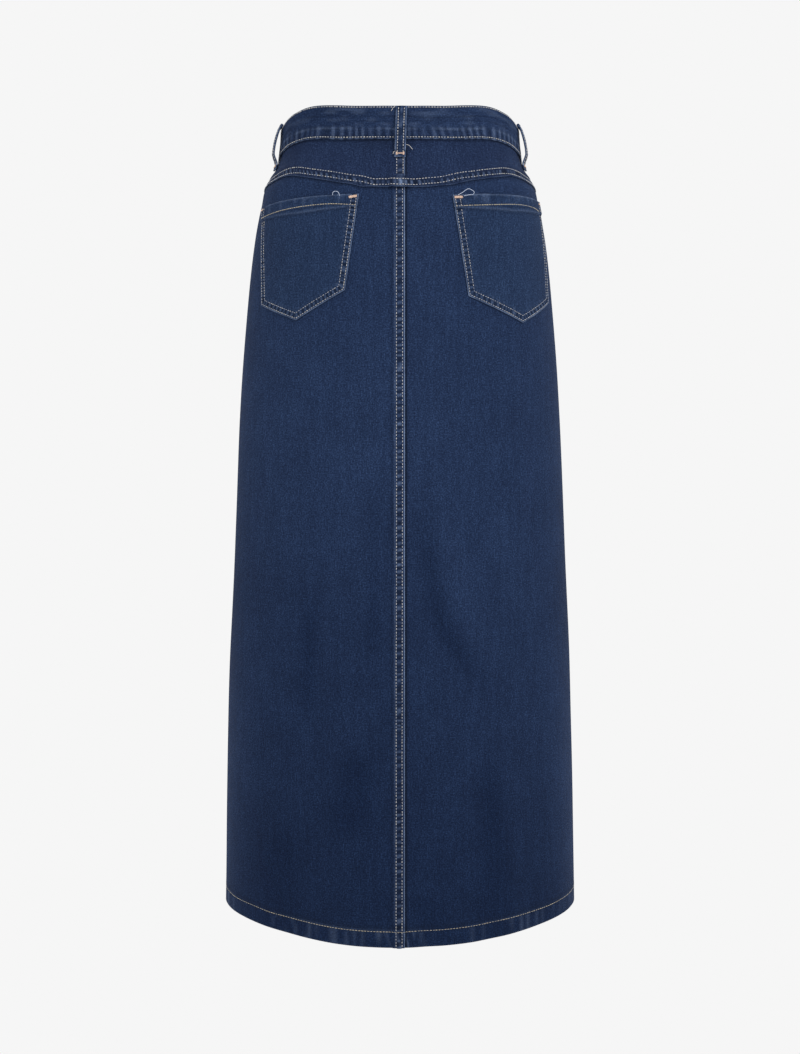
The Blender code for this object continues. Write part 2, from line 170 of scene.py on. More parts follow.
def puckers(x, up, pitch, seed):
    """Ridges pulled up from a row of stitching, unevenly apart and strong: -1 to 1, and sharp."""
    lean = 0.5 * unevenness(x / (4 * pitch), 5.5, seed) * up / (12 * MM)
    run = x / pitch + 0.9 * unevenness(x / (2.1 * pitch), 0.5, seed + 1) + lean
    strength = np.clip(0.7 + 0.5 * unevenness(x / (1.3 * pitch), 2.5, seed + 2), 0, 1.1)
    wave = np.sin(2 * np.pi * run) * strength
    return wave, ease(wave, 0.15, 0.95)


def make_quarters():
    """Each level's quarter sections, back and front: points at even shares, and the lengths."""
    turn = np.linspace(0, math.pi / 2, 1601)
    width, back, front, squareness = (
        between(LEVELS, SECTIONS[:, [0, k]]) for k in (1, 2, 3, 4)
    )
    points = np.zeros((2, len(LEVELS), SHARE_STEPS + 1, 2))
    lengths = np.zeros((2, len(LEVELS)))
    shares = np.linspace(0, 1, SHARE_STEPS + 1)
    for which, depth in enumerate((-back, front)):
        for level in range(len(LEVELS)):
            power = 2 / squareness[level]
            x = width[level] * np.sin(turn) ** power
            y = depth[level] * np.abs(np.cos(turn)) ** power
            run = np.concatenate([[0], np.cumsum(np.hypot(np.diff(x), np.diff(y)))])
            lengths[which, level] = run[-1] * MM
            points[which, level, :, 0] = np.interp(shares * run[-1], run, x) * MM
            points[which, level, :, 1] = np.interp(shares * run[-1], run, y) * MM
    return points, lengths


QUARTERS, LENGTHS = make_quarters()


def quarter_length(below, is_front=False):
    """The way round from the centre to the side seam at this level."""
    return np.interp(np.asarray(below) / MM, LEVELS, LENGTHS[int(is_front)])


def form(around, below):
    """Points of the form, between the nearest levels and shares."""
    around = (around + 2) % 4 - 2
    share = np.abs(around)
    which = (share > 1).astype(int)
    u = np.where(share > 1, 2 - share, share) * SHARE_STEPS
    v = np.clip(below / MM - LEVELS[0], 0, len(LEVELS) - 1.001)
    i = np.clip(u.astype(int), 0, SHARE_STEPS - 1)
    j = v.astype(int)
    a, b = (u - i)[..., None], (v - j)[..., None]
    upper = QUARTERS[which, j, i] * (1 - a) + QUARTERS[which, j, i + 1] * a
    lower = QUARTERS[which, j + 1, i] * (1 - a) + QUARTERS[which, j + 1, i + 1] * a
    level = upper * (1 - b) + lower * b
    side = np.where(around < 0, -1, 1)
    return np.stack([side * level[..., 0], level[..., 1], ORIGIN_BELOW - below], -1)


def place(around, below, out):
    """Points this far outside the form, along its normal."""
    around, below, out = np.broadcast_arrays(*(np.asarray(a, float) for a in (around, below, out)))
    across = form(around + SLOPE_ROUND, below) - form(around - SLOPE_ROUND, below)
    down = form(around, below + SLOPE_DOWN) - form(around, below - SLOPE_DOWN)
    normal = np.cross(down, across)
    normal /= np.linalg.norm(normal, axis=-1, keepdims=True)
    return form(around, below) + out[..., None] * normal


# Soft troughs and ridges that the cloth hangs in: height in mm, half width in mm, and the
# line of each down the skirt as (around, mm below)
CREASES = [
    (-2.2, 14, [(0.03, 400), (0.05, 450), (0.09, 520), (0.14, 560), (0.24, 601), (0.36, 650)]),
    (1.1, 16, [(0.12, 400), (0.16, 450), (0.2, 510), (0.27, 560), (0.38, 620)]),
    (-1.6, 10, [(-0.055, 370), (-0.055, 450), (-0.06, 540), (-0.06, 640)]),
    (-1.8, 12, [(-0.33, 500), (-0.355, 570), (-0.36, 620), (-0.37, 680)]),
    (-1.8, 26, [(-0.10, 670), (-0.14, 730), (-0.18, 800)]),
    (-1.7, 18, [(0.34, 670), (0.355, 760), (0.37, 880)]),
    (-1.5, 24, [(-0.46, 770), (-0.49, 830), (-0.5, 890)]),
    (-1.5, 14, [(0.05, 845), (0.07, 870), (0.09, 890)]),
    (1.6, 34, [(-0.73, 520), (-0.73, 650), (-0.73, 790)]),
    (1.6, 34, [(0.75, 520), (0.75, 660), (0.75, 790)]),
    (-1.6, 22, [(1.24, 330), (1.22, 520), (1.2, 700), (1.19, 880)]),
    (-1.5, 20, [(-1.27, 380), (-1.25, 560), (-1.22, 720), (-1.2, 880)]),
    (1.5, 26, [(-0.99, 480), (-0.98, 650), (-0.97, 880)]),
    (1.3, 26, [(0.99, 480), (0.98, 650), (0.97, 880)]),
    (-2.0, 18, [(1.93, 420), (1.86, 500), (1.76, 590), (1.66, 680)]),
    (1.3, 20, [(-1.8, 360), (-1.76, 520), (-1.72, 700), (-1.7, 870)]),
    (-1.6, 16, [(-1.55, 560), (-1.52, 660), (-1.48, 780), (-1.46, 880)]),
    (1.4, 22, [(1.42, 450), (1.4, 620), (1.37, 860)]),
    (-1.2, 12, [(-1.9, 620), (-1.92, 720), (-1.93, 860)]),
]

# Where the yokes are drawn in towards the sides, above the hips: mm below, mm
YOKE_HOLLOW = [(0, 0), (38, 0), (46, 0.6), (51, 1.6), (56, 2.8), (60, 3.9), (64, 4.9), (68.5, 4.2),
               (73, 2.8), (79, 1.6), (92, 2.2), (105, 1.6), (125, 1.1), (200, 0.7), (300, 0.2),
               (904, 0)]


def creased(around, below):
    """How far the creases stand off the form."""
    around, below = np.broadcast_arrays(np.asarray(around, float), np.asarray(below, float))
    height = np.zeros(around.shape)
    width = quarter_length(below)
    for size, half, line in CREASES:
        marks = np.array(line)
        middle = between(below / MM, marks[:, ::-1])
        aside = ((around - middle + 2) % 4 - 2) * width
        start, end = marks[0, 1] * MM, marks[-1, 1] * MM
        length = end - start
        stay = ease(below, start, start + 0.35 * length)
        stay *= 1 - ease(below, end - 0.35 * length, end) if end < 0.85 else 1
        height += size * MM * stay * hump(aside, half * MM)
    return height


def drape(around, below):
    """How far the hanging cloth stands off the form, the same for every piece on it."""
    height = creased(around, below)
    to_hollow = (np.abs((around + 2) % 4 - 2) - 0.83) * quarter_length(below)
    height -= between(below / MM, YOKE_HOLLOW) * MM * hump(to_hollow, 40 * MM)
    turn = np.pi * around / 2
    sway = np.cos(5 * turn + 0.6) + 0.7 * np.cos(8 * turn + 2.1) + 0.5 * np.cos(13 * turn + 4)
    height += 0.75 * MM * sway * ease(below, 0.30, 0.95)
    settled = ease(below, 0.05, 0.16)
    lumps = unevenness(np.cos(turn) * 4 + 9, below / 0.11 + 3 * np.sin(turn), 5)
    height += 0.5 * MM * settled * lumps
    return height


def lay(side, is_front, distance, below, out):
    """Points on a piece of cloth, this far from its centre seam, with the drape."""
    share = distance / quarter_length(below, is_front)
    around = side * (2 - share if is_front else share)
    return place(around, below, out + drape(around, below))


# ---------------------------------------------------------------- how high each piece lies

def back_lap(side, distance):
    """1 where the left back is on the right one's edge, in the felled centre seam."""
    return 1 - ease(distance, 6.0 * MM, FELL_END) if side == LEFT else 0 * distance


def fly_drop(side, distance, below):
    """How far inside the form the right front is, to be under the left one."""
    if side == LEFT:
        return 0 * distance * below
    rise = np.clip((below - BAND_FOOT_FRONT) / UNDERLAP_EASE, 0, 1)
    deep = UNDERLAP_DROP + rise * (LAYER - UNDERLAP_DROP)
    return deep * (1 - ease(distance, LAP + GAP, LAP + GAP + FLY_SLOPE))


def rope(along, across, width, seed, pitch=7.5 * MM):
    """The puckers of a seam sewn in two rows, from -1 to 1; 1 between the rows; 1 close to them.

    across is 0 in the middle of the two rows, which are half of width from there.
    """
    run = along / pitch + 1.0 * unevenness(along / (1.9 * pitch), 0.5, seed)
    lean = 0.16 * across / width + 0.10 * unevenness(run, 7.5, seed + 2)
    wave = np.sin(2 * np.pi * (run + lean)) * (0.64 + 0.55 * unevenness(run * 0.9, 3.5, seed + 1))
    inside = 1 - ease(np.abs(across), 0.40 * width, 0.52 * width)
    around_it = 1 - ease(np.abs(across), 0.5 * width, 1.1 * width)
    return wave, inside, around_it


def row_grooves(across, rows, width=0.7 * MM):
    """1 along the stitch rows, where the thread pulls the cloth down."""
    return np.clip(sum(hump(across - row, width) for row in rows), 0, 1)


def hem_face(x, up, seed):
    """Relief in mm, wear and dark of a turned hem, this far above its fold."""
    zone = 1 - ease(up, 16.5 * MM, 20 * MM)
    there = ease(unevenness(x / (48 * MM), 4.5, seed + 5), -0.5, 0.4)
    soft, sharp = puckers(x, 18 * MM - up, 8 * MM, seed)
    relief = 0.22 * zone * there * soft * ease(up, 0, 4 * MM)
    relief = relief - 0.30 * hump(up - HEM_ROW, 0.8 * MM) + 0.10 * hump(up - 21 * MM, 1.5 * MM)
    wear = 0.22 * zone * there * sharp + 0.16 * hump(up, 0.8 * MM)
    wear = wear + 0.10 * there * hump(up - 19.6 * MM, 0.9 * MM)
    dark = 0.34 * hump(up - 22 * MM, 2.2 * MM) + 0.25 * zone * there * ease(-soft, 0.1, 0.8)
    dark = dark + 0.30 * hump(up - HEM_ROW, 1.1 * MM)
    return relief, wear, dark


def seam_drift(below):
    """How far the centre seam has wandered to the left by here."""
    return 0.5 * MM * ease(below, 0.35, 0.65)


def back_panel_face(side, distance, below, around):
    """Relief of a back panel's outer face in mm, where it is worn, and its darks and painted shade.
    """
    x = distance * side
    # The felled centre seam: rows at -3.6 and 2.7 mm, its folded edge at 5 mm
    seam = x + 0.45 * MM + seam_drift(below)
    wave, inside, near = rope(below, seam, 6.3 * MM, 21)
    grooves = row_grooves(seam, (-3.15 * MM, 3.15 * MM))
    relief = 0.26 * inside * wave + 0.14 * inside - 0.30 * grooves + 0.08 * near * wave
    wear = inside * (0.02 + 0.30 * ease(wave, 0.2, 0.8)) * (1 - grooves)
    dark = inside * 0.70 * ease(-wave, -0.3, 0.4) * (1 - grooves) + 0.40 * grooves
    patchy = unevenness(below / 0.013, 1.5, 9)
    if side == LEFT:
        rubbed = 0.86 + 0.12 * wave + 0.3 * patchy
        wear = wear + np.clip(rubbed, 0, 1.1) * hump(x - 4.95 * MM, 0.66 * MM)
        wear = wear + (0.13 + 0.16 * patchy) * hump(x + 5.3 * MM, 1.1 * MM)
    else:
        # Painted shadow cast by the left back's folded edge onto the right back
        dark = dark + 0.95 * hump(x - 6.5 * MM, 1.2 * MM)
    # Painted shade where the left back comes down onto the form past the felled seam
    dark = dark + (0.22 + 0.2 * patchy) * hump(x + 9.0 * MM, 1.6 * MM)
    wear = wear * (1 - 0.3 * ease(below, 0.45, 0.75))
    # Shaded under the yoke's edge
    dark = dark + 0.60 * hump(below - yoke_foot(around) - 0.9 * MM, 1.1 * MM)
    hem_relief, hem_wear, hem_dark = hem_face(x, on_line(HEM, around) - below, 31)
    return relief + hem_relief, wear + hem_wear, dark + hem_dark


def front_panel_face(side, distance, below, around):
    """The same for a front panel: the fly's edge, the centre seam, the hem and painted shade."""
    x = distance * side
    relief, wear, dark = 0 * x, 0 * x, 0 * x
    lower = ease(below, 0.205, 0.225)
    wave, inside, _ = rope(below, x - 3.6 * MM, 6.2 * MM, 41)
    if side == LEFT:
        rows = (0, -6.2 * MM)
        lap = 1 - ease(distance, 9 * MM, 12 * MM)
        relief = relief + 0.14 * lower * lap * wave - 0.2 * lower * row_grooves(x + 2.2 * MM, rows)
        dark = dark + 0.5 * lower * inside * ease(-wave, 0.15, 0.8)
        wear = wear + 0.45 * hump(distance + 7.5 * MM, 0.7 * MM) * (0.6 + 0.4 * wave)
    else:
        # Painted shadow cast by the left front's lapped edge onto the right front
        dark = dark + 0.6 * hump(x - 8.9 * MM, 1.2 * MM)
    hem_relief, hem_wear, hem_dark = hem_face(x, on_line(HEM, around) - below, 51)
    # Painted shadow under the waistband's foot
    dark = dark + 0.5 * hump(below - on_line(BAND_FOOT, around) - 0.8 * MM, 1.1 * MM)
    return relief + hem_relief, wear + hem_wear, dark + hem_dark


def yoke_face(side, distance, below, around):
    """The same for a yoke: puckers between the two rows over the panel, worn edge, painted shade.
    """
    x = distance * side
    up = yoke_foot(around) - below
    seam = up - 5.1 * MM
    wave, inside, near = rope(x, seam, 6.0 * MM, 61, 5.9 * MM)
    patchy = unevenness(x / 0.009, 4.5, 66)
    grooves = row_grooves(up, YOKE_ROWS)
    relief = 0.26 * inside * wave + 0.12 * inside - 0.30 * grooves + 0.08 * near * wave
    wear = inside * (0.03 + 0.28 * ease(wave, 0.1, 0.8)) * (1 - grooves)
    wear = wear + (0.12 + 0.15 * patchy) * hump(up - 0.45 * MM, 0.45 * MM)
    dark = inside * 0.85 * ease(-wave, -0.2, 0.4) * (1 - grooves) + 0.4 * grooves
    dark = dark + 0.25 * hump(up - 9.9 * MM, 1.2 * MM)
    # Where it crosses the centre seam it is thick and faded
    crossing = hump(x - 1 * MM, 4.6 * MM) * hump(seam, 4.2 * MM)
    wear = wear + (0.5 + 0.4 * unevenness(x / (2.2 * MM), seam / (2 * MM), 63)) * crossing
    dark = dark * (1 - 0.75 * crossing)
    # The felled centre seam goes on up to the band
    middle = x + 0.1 * MM
    wave, inside, _ = rope(below, middle, 6.8 * MM, 21)
    free = ease(up, 10 * MM, 14 * MM)
    grooves = row_grooves(middle, (-3.4 * MM, 3.4 * MM))
    relief = relief + free * (0.22 * inside * wave - 0.28 * grooves)
    wear = wear + free * inside * (0.05 + 0.25 * ease(wave, 0.1, 0.8)) * (1 - grooves)
    dark = dark + free * (inside * 0.7 * ease(-wave, -0.2, 0.4) * (1 - grooves) + 0.35 * grooves)
    if side == RIGHT:
        # Painted shadow cast by the left yoke's folded edge in the centre seam
        dark = dark + free * 0.9 * hump(x - 6.5 * MM, 1.1 * MM)
    else:
        wear = wear + free * 0.6 * hump(x - 5.0 * MM, 0.6 * MM)
    under = below - on_line(BAND_FOOT, around)
    # Painted shadow under the waistband's foot
    dark = dark + 0.60 * hump(under - 0.9 * MM, 1.1 * MM)
    # Painted shade under the band, left of the centre back
    if side == LEFT:
        dark = dark + 0.28 * hump(x + 26 * MM, 24 * MM) * hump(under - 3 * MM, 9 * MM)
    return relief, wear, dark


def band_face(x, share):
    """The same for the waistband. share is 0 at its top edge and 1 at its foot."""
    down = BAND_HEIGHT * share
    up = BAND_HEIGHT - down
    soft, _ = puckers(x, up, 8.6 * MM, 72)
    broken = np.clip(0.55 + 0.6 * unevenness(x / (6 * MM), 1.5, 74), 0, 1)
    sharp = ease(soft, -0.1, 0.8) * broken
    low = 1 - ease(up, 9 * MM, 17 * MM)
    relief = 0.30 * low * soft * ease(up, 0.5 * MM, 4 * MM)
    # The edge of the allowance inside shows as a low broken ridge
    ridge_at = 11 * MM + 0.9 * MM * unevenness(x / (18 * MM), 0.5, 75)
    ridge = hump(up - ridge_at, 1.2 * MM) * ease(unevenness(x / (14 * MM), 2.5, 76), -0.5, 0.5)
    relief = relief + 0.10 * ridge
    # A crease along its middle from sitting, and lesser ones above and below it
    crease = 0 * share
    for middle, size, seed in ((12.5, 1.0, 73), (16.5, 0.55, 77), (8.0, 0.4, 79)):
        line = middle * MM + 1.6 * MM * unevenness(x / (40 * MM), 0.5, seed)
        there = ease(unevenness(x / (33 * MM), 2.5, seed), -0.55, 0.25)
        crease = crease + size * there * hump(down - line, 0.9 * MM)
    high = ease(up, 10 * MM, 18 * MM)
    fine = unevenness(x / (15 * MM), down / (4 * MM), 80)
    relief = relief - 0.28 * crease + 0.08 * high * fine
    foot_row, top_row = (BAND_FOOT_ROW,), (BAND_TOP_ROW,)
    grooves = np.clip(row_grooves(up, foot_row) + row_grooves(down, top_row), 0, 1)
    relief = relief - 0.26 * grooves
    patchy = unevenness(x / 0.008, 8.5, 78)
    wear = 0.30 * low * sharp + 0.12 * high * ease(fine, 0.0, 0.9)
    wear = wear * (1 - grooves) + 0.30 * hump(down, 0.9 * MM) + 0.24 * ridge
    wear = wear + (0.22 + 0.2 * patchy) * hump(up - 0.3 * MM, 0.5 * MM)
    # Darker in the puckers' hollows, and painted shade along the creases
    dark = 0.50 * low * ease(-soft, -0.1, 0.6) + 0.5 * crease
    shade = row_grooves(up, foot_row, 1.0 * MM) + row_grooves(down, top_row, 0.9 * MM)
    dark = dark + 0.45 * np.clip(shade, 0, 1)
    return relief, wear, dark


# Back pockets' corners, in mm: distance from the centre back, below
POCKETS = {
    "left": (LEFT, (43.6, 96.4), (58.6, 198.0), (115.3, 228.6), (168.8, 209.4), (176.3, 100.8)),
    "right": (RIGHT, (56.0, 97.1), (73.4, 204.0), (141.3, 230.0), (194.6, 204.5), (191.0, 90.8)),
}


def to_edge(x, y, points):
    """Distance from an open line through these points, and the running length there."""
    best, along, run = np.full(np.shape(x), 1e9), np.zeros(np.shape(x)), 0.0
    for (ax, ay), (bx, by) in zip(points, points[1:]):
        length = math.hypot(bx - ax, by - ay)
        ux, uy = (bx - ax) / length, (by - ay) / length
        t = np.clip((x - ax) * ux + (y - ay) * uy, 0, length)
        gap = np.hypot(x - ax - t * ux, y - ay - t * uy)
        nearer = gap < best
        best, along = np.where(nearer, gap, best), np.where(nearer, run + t, along)
        run += length
    return best, along


def pocket_face(name, distance, below, down):
    """The same for a back pocket: two rows of stitching round it, one below its top hem."""
    edge = [(a * MM, b * MM) for a, b in POCKETS[name][1:]]
    gap, along = to_edge(distance, below, edge)
    seed = 81 if name == "left" else 91
    wave, inside, _ = rope(along, gap - 4.6 * MM, 5.2 * MM, seed, 5.6 * MM)
    patchy = unevenness(along / 0.010, 2.5, seed + 5)
    grooves = row_grooves(gap, POCKET_ROWS)
    relief = 0.22 * inside * wave + 0.08 * inside - 0.28 * grooves
    wear = inside * 0.18 * ease(wave, 0, 0.8) * (1 - grooves)
    wear = wear + (0.40 + 0.3 * patchy) * hump(gap - 0.4 * MM, 0.6 * MM)
    # Short puckers on past the inner row
    wear = wear + 0.16 * ease(wave, 0.2, 0.9) * hump(gap - 9.2 * MM, 1.7 * MM)
    dark = inside * 0.75 * ease(-wave, -0.2, 0.5) * (1 - grooves) + 0.4 * grooves
    top = row_grooves(down, (10.3 * MM,))
    pull = unevenness(distance / (5 * MM), down / (14 * MM), seed + 3)
    mouth = 1 - ease(down, 8 * MM, 12 * MM)
    relief = relief - 0.26 * top + 0.14 * pull * mouth
    wear = wear + (0.30 + 0.2 * patchy) * hump(down, 0.8 * MM) + 0.12 * mouth * ease(pull, 0.1, 0.9)
    # The hem's edge inside shows as a pale ridge below its row
    wear = wear + (0.15 + 0.12 * patchy) * hump(down - 13.2 * MM, 0.9 * MM)
    # Darker along the mouth's row, and painted shade below the ridge of the hem's edge inside
    dark = dark + 0.35 * top + 0.25 * hump(down - 15.2 * MM, 1.3 * MM)
    dark = dark + 0.22 * mouth * ease(-pull, 0.2, 0.9)
    return relief, wear, dark


# ---------------------------------------------------------------- cloth meshes

def steps(start, end, size):
    """Even steps of about this size, an even number of them, the last place left out."""
    count = max(2, 2 * math.ceil(abs(end - start) / (2 * size) - 1e-9))
    return np.linspace(start, end, count + 1)[:-1]


EDGE = np.array([0, 0.06, 0.2, 0.38]) * MM  # places across the round edge of a sheet
EDGE_WIDTH = 0.6 * MM
EDGE_BACK = (EDGE_WIDTH, *EDGE[::-1])  # the same places, met from the other side


def half_turn(parts):
    """Sines and cosines of even steps round a fold."""
    return [(math.sin(turn), math.cos(turn)) for turn in steps(0, math.pi, math.pi / parts)]


def roundness(edge):
    """A sheet's share of its full thickness this far from its edge."""
    t = np.clip(edge / EDGE_WIDTH, 0, 1)
    return np.maximum(np.sqrt(1 - (1 - t) ** 2), 0.06)


def add_mesh(name, points, faces, materials, kinds=None, uv=None, marks=None, is_smooth=True):
    """A piece from arrays of points and faces, all faces of one array having as many corners."""
    used = np.zeros(len(points), bool)
    for group in faces:
        used[group.ravel()] = True
    renumbered = np.cumsum(used) - 1
    faces = [renumbered[group] for group in faces if len(group)]
    points = points[used]
    mesh = bpy.data.meshes.new(name)
    mesh.vertices.add(len(points))
    mesh.vertices.foreach_set("co", points.astype(np.float32).ravel())
    corners = np.concatenate([group.ravel() for group in faces])
    sizes = np.concatenate([np.full(len(group), group.shape[1]) for group in faces])
    mesh.loops.add(len(corners))
    mesh.loops.foreach_set("vertex_index", corners.astype(np.int32))
    mesh.polygons.add(len(sizes))
    starts = np.concatenate([[0], np.cumsum(sizes)[:-1]])
    mesh.polygons.foreach_set("loop_start", starts.astype(np.int32))
    mesh.polygons.foreach_set("loop_total", sizes.astype(np.int32))
    mesh.update(calc_edges=True)
    if kinds is not None:
        mesh.polygons.foreach_set("material_index", kinds.astype(np.int32))
    mesh.polygons.foreach_set("use_smooth", np.full(len(sizes), is_smooth))
    if uv is not None:
        layer = mesh.uv_layers.new(name="cloth_mm")
        layer.data.foreach_set("uv", uv[used][corners].astype(np.float32).ravel())
    for mark, values in (marks or {}).items():
        attribute = mesh.attributes.new(mark, "FLOAT", "POINT")
        attribute.data.foreach_set("value", values[used].astype(np.float32))
    for material in materials:
        mesh.materials.append(material)
    mesh.validate()
    piece = bpy.data.objects.new(name, mesh)
    bpy.context.scene.collection.objects.link(piece)
    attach(piece, "root")
    return piece


def running_length(points):
    """How far along the line through them each of these points is."""
    return np.concatenate([[0], np.cumsum(np.linalg.norm(np.diff(points, axis=0), axis=1))])


def tube_faces(rings, corners):
    """Faces of a tube of so many rings of so many corners each, and its two ends."""
    k, n = np.arange(rings - 1)[:, None] * corners, np.arange(corners)[None, :]
    m = (n + 1) % corners
    quads = np.stack([k + n, k + m, k + corners + m, k + corners + n], -1).reshape(-1, 4)
    return quads, np.stack([n[0, ::-1], (rings - 1) * corners + n[0]])


def all_cells(rows, columns):
    """Every pair of cells of a sheet with this many rows and columns of points."""
    return np.ones(((len(rows) - 1) // 2, (len(columns) - 1) // 2), bool)


def add_sheet(name, outer, inner, uv, marks, materials, kept=None):
    """A closed sheet between two grids of points, of which the inner one is used half as fine.

    kept says which pairs of cells are there, where the sheet is cut away in places.
    """
    rows, columns = outer.shape[0] - 1, outer.shape[1] - 1
    if kept is None:
        kept = np.ones((rows // 2, columns // 2), bool)
    fine = np.arange((rows + 1) * (columns + 1)).reshape(rows + 1, columns + 1)
    coarse_shape = (rows // 2 + 1, columns // 2 + 1)
    coarse = fine.size + np.arange(coarse_shape[0] * coarse_shape[1]).reshape(coarse_shape)
    there = np.repeat(np.repeat(kept, 2, 0), 2, 1)
    i, j = np.nonzero(there)
    face = np.stack([fine[i, j], fine[i + 1, j], fine[i + 1, j + 1], fine[i, j + 1]], 1)
    i, j = np.nonzero(kept)
    back = np.stack([coarse[i, j], coarse[i, j + 1], coarse[i + 1, j + 1], coarse[i + 1, j]], 1)
    # Walls along each side of the cells that has no neighbour
    walls = []
    padded = np.pad(kept, 1)
    i, j = np.nonzero(kept & ~padded[:-2, 1:-1])
    walls.append([fine[2 * i, 2 * j], fine[2 * i, 2 * j + 1], fine[2 * i, 2 * j + 2],
                  coarse[i, j + 1], coarse[i, j]])
    i, j = np.nonzero(kept & ~padded[2:, 1:-1])
    low = 2 * i + 2
    walls.append([fine[low, 2 * j + 2], fine[low, 2 * j + 1], fine[low, 2 * j],
                  coarse[i + 1, j], coarse[i + 1, j + 1]])
    i, j = np.nonzero(kept & ~padded[1:-1, :-2])
    walls.append([fine[2 * i + 2, 2 * j], fine[2 * i + 1, 2 * j], fine[2 * i, 2 * j],
                  coarse[i, j], coarse[i + 1, j]])
    i, j = np.nonzero(kept & ~padded[1:-1, 2:])
    far = 2 * j + 2
    walls.append([fine[2 * i, far], fine[2 * i + 1, far], fine[2 * i + 2, far],
                  coarse[i + 1, j + 1], coarse[i, j + 1]])
    wall = np.concatenate([np.stack(group, 1) for group in walls])
    # All faces turn the same way; which way is out is read off one cell in the middle
    i, j = (value[len(value) // 2] for value in np.nonzero(there))
    down, over = outer[i + 1, j] - outer[i, j], outer[i, j + 1] - outer[i, j]
    if np.dot(np.cross(down, over), outer[i, j] - inner[i, j]) < 0:
        face, back, wall = face[:, ::-1], back[:, ::-1], wall[:, ::-1]
    points = np.concatenate([outer.reshape(-1, 3), inner[::2, ::2].reshape(-1, 3)])
    uv = np.concatenate([uv.reshape(-1, 2), uv[::2, ::2].reshape(-1, 2)])
    marks = {
        mark: np.concatenate([np.clip(values, 0, 1).ravel(), 0 * values[::2, ::2].ravel()])
        for mark, values in marks.items()
    }
    kinds = np.repeat([0, 1, 0], [len(face), len(back), len(wall)])
    return add_mesh(name, points, [face, back, wall], materials, kinds, uv, marks)


def add_denim(name, outer, inner, uv, marks, materials, kept=None):
    """A sheet of denim in the place of the part's piece of this name."""
    piece = add_sheet(name, outer, inner, uv, marks, materials, kept)
    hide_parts(name)
    return piece


# ---------------------------------------------------------------- finishes

def linear(hex_colour):
    """An sRGB hex colour as linear numbers with alpha."""
    channels = np.array([int(hex_colour[k : k + 2], 16) / 255 for k in (0, 2, 4)])
    low, high = channels / 12.92, ((channels + 0.055) / 1.055) ** 2.4
    return (*np.where(channels <= 0.04045, low, high), 1.0)


def add_node(material, kind, settings=None, inputs=None):
    """A node with its settings; an input is a value, or another node's output to link."""
    node = material.node_tree.nodes.new(kind)
    for name, value in (settings or {}).items():
        setattr(node, name, value)
    for name, value in (inputs or {}).items():
        if isinstance(value, bpy.types.NodeSocket):
            material.node_tree.links.new(value, node.inputs[name])
        else:
            node.inputs[name].default_value = value
    return node


def new_finish(name):
    """A finish with nothing in it yet."""
    material = bpy.data.materials.new(name)
    material.use_nodes = True
    material.node_tree.nodes.clear()
    return material


def finish_with(material, kind, inputs):
    """The finish, shaded this way."""
    shader = add_node(material, kind, {}, inputs)
    add_node(material, "ShaderNodeOutputMaterial", {}, {0: shader.outputs[0]})
    return material


def cloth_place(material):
    """Places on the cloth, in mm across and along its lengthwise thread."""
    return add_node(material, "ShaderNodeUVMap", {"uv_map": "cloth_mm"}).outputs[0]


def read_mark(material, mark):
    """A value that the piece's points carry."""
    return add_node(material, "ShaderNodeAttribute", {"attribute_name": mark}).outputs["Fac"]


def stretched(material, cloth, wide_mm, long_mm):
    """Places for a pattern with spots this wide and long."""
    return add_node(material, "ShaderNodeMapping", {}, {
        0: cloth, "Scale": (1 / wide_mm, 1 / long_mm, 1),
    }).outputs[0]


def clouded(material, where, scale, detail, roughness=0.5):
    """A pattern of soft spots, its values around 0.5."""
    return add_node(material, "ShaderNodeTexNoise", {}, {
        "Vector": where, "Scale": scale, "Detail": detail, "Roughness": roughness,
    }).outputs["Fac"]


WAVE = 0.314  # the length of one wave of the wave pattern, at scale 1


def ribbed(material, cloth, turn, apart_mm, distortion, profile="SIN", detail=None):
    """Ribs this far apart, turned this much from the lengthwise thread."""
    turned = add_node(material, "ShaderNodeMapping", {}, {0: cloth, "Rotation": (0, 0, turn)})
    return add_node(material, "ShaderNodeTexWave", {"wave_profile": profile}, {
        "Vector": turned.outputs[0], "Scale": WAVE / apart_mm, "Distortion": distortion,
        **(detail or {}),
    }).outputs["Fac"]


def worked_out(material, operation, *values, use_clamp=False):
    """Values added, multiplied and so on."""
    settings = {"operation": operation, "use_clamp": use_clamp}
    return add_node(material, "ShaderNodeMath", settings, dict(enumerate(values))).outputs[0]


def ranged(material, value, low, high, to_low, to_high):
    """A value moved from one range to another."""
    inputs = dict(enumerate((value, low, high, to_low, to_high)))
    return add_node(material, "ShaderNodeMapRange", {}, inputs).outputs[0]


def mixed(material, amount, first, second, blend="MIX"):
    """Two colours mixed; each is a hex colour or comes from another node."""
    first, second = (linear(c) if isinstance(c, str) else c for c in (first, second))
    return add_node(material, "ShaderNodeMix", {"data_type": "RGBA", "blend_type": blend},
                    {0: amount, 6: first, 7: second}).outputs[2]


def bumped(material, strength, deep_mm, height):
    """The surface's tilt over a pattern this deep."""
    return add_node(material, "ShaderNodeBump", {}, {
        "Strength": strength, "Distance": deep_mm * MM, "Height": height,
    }).outputs[0]


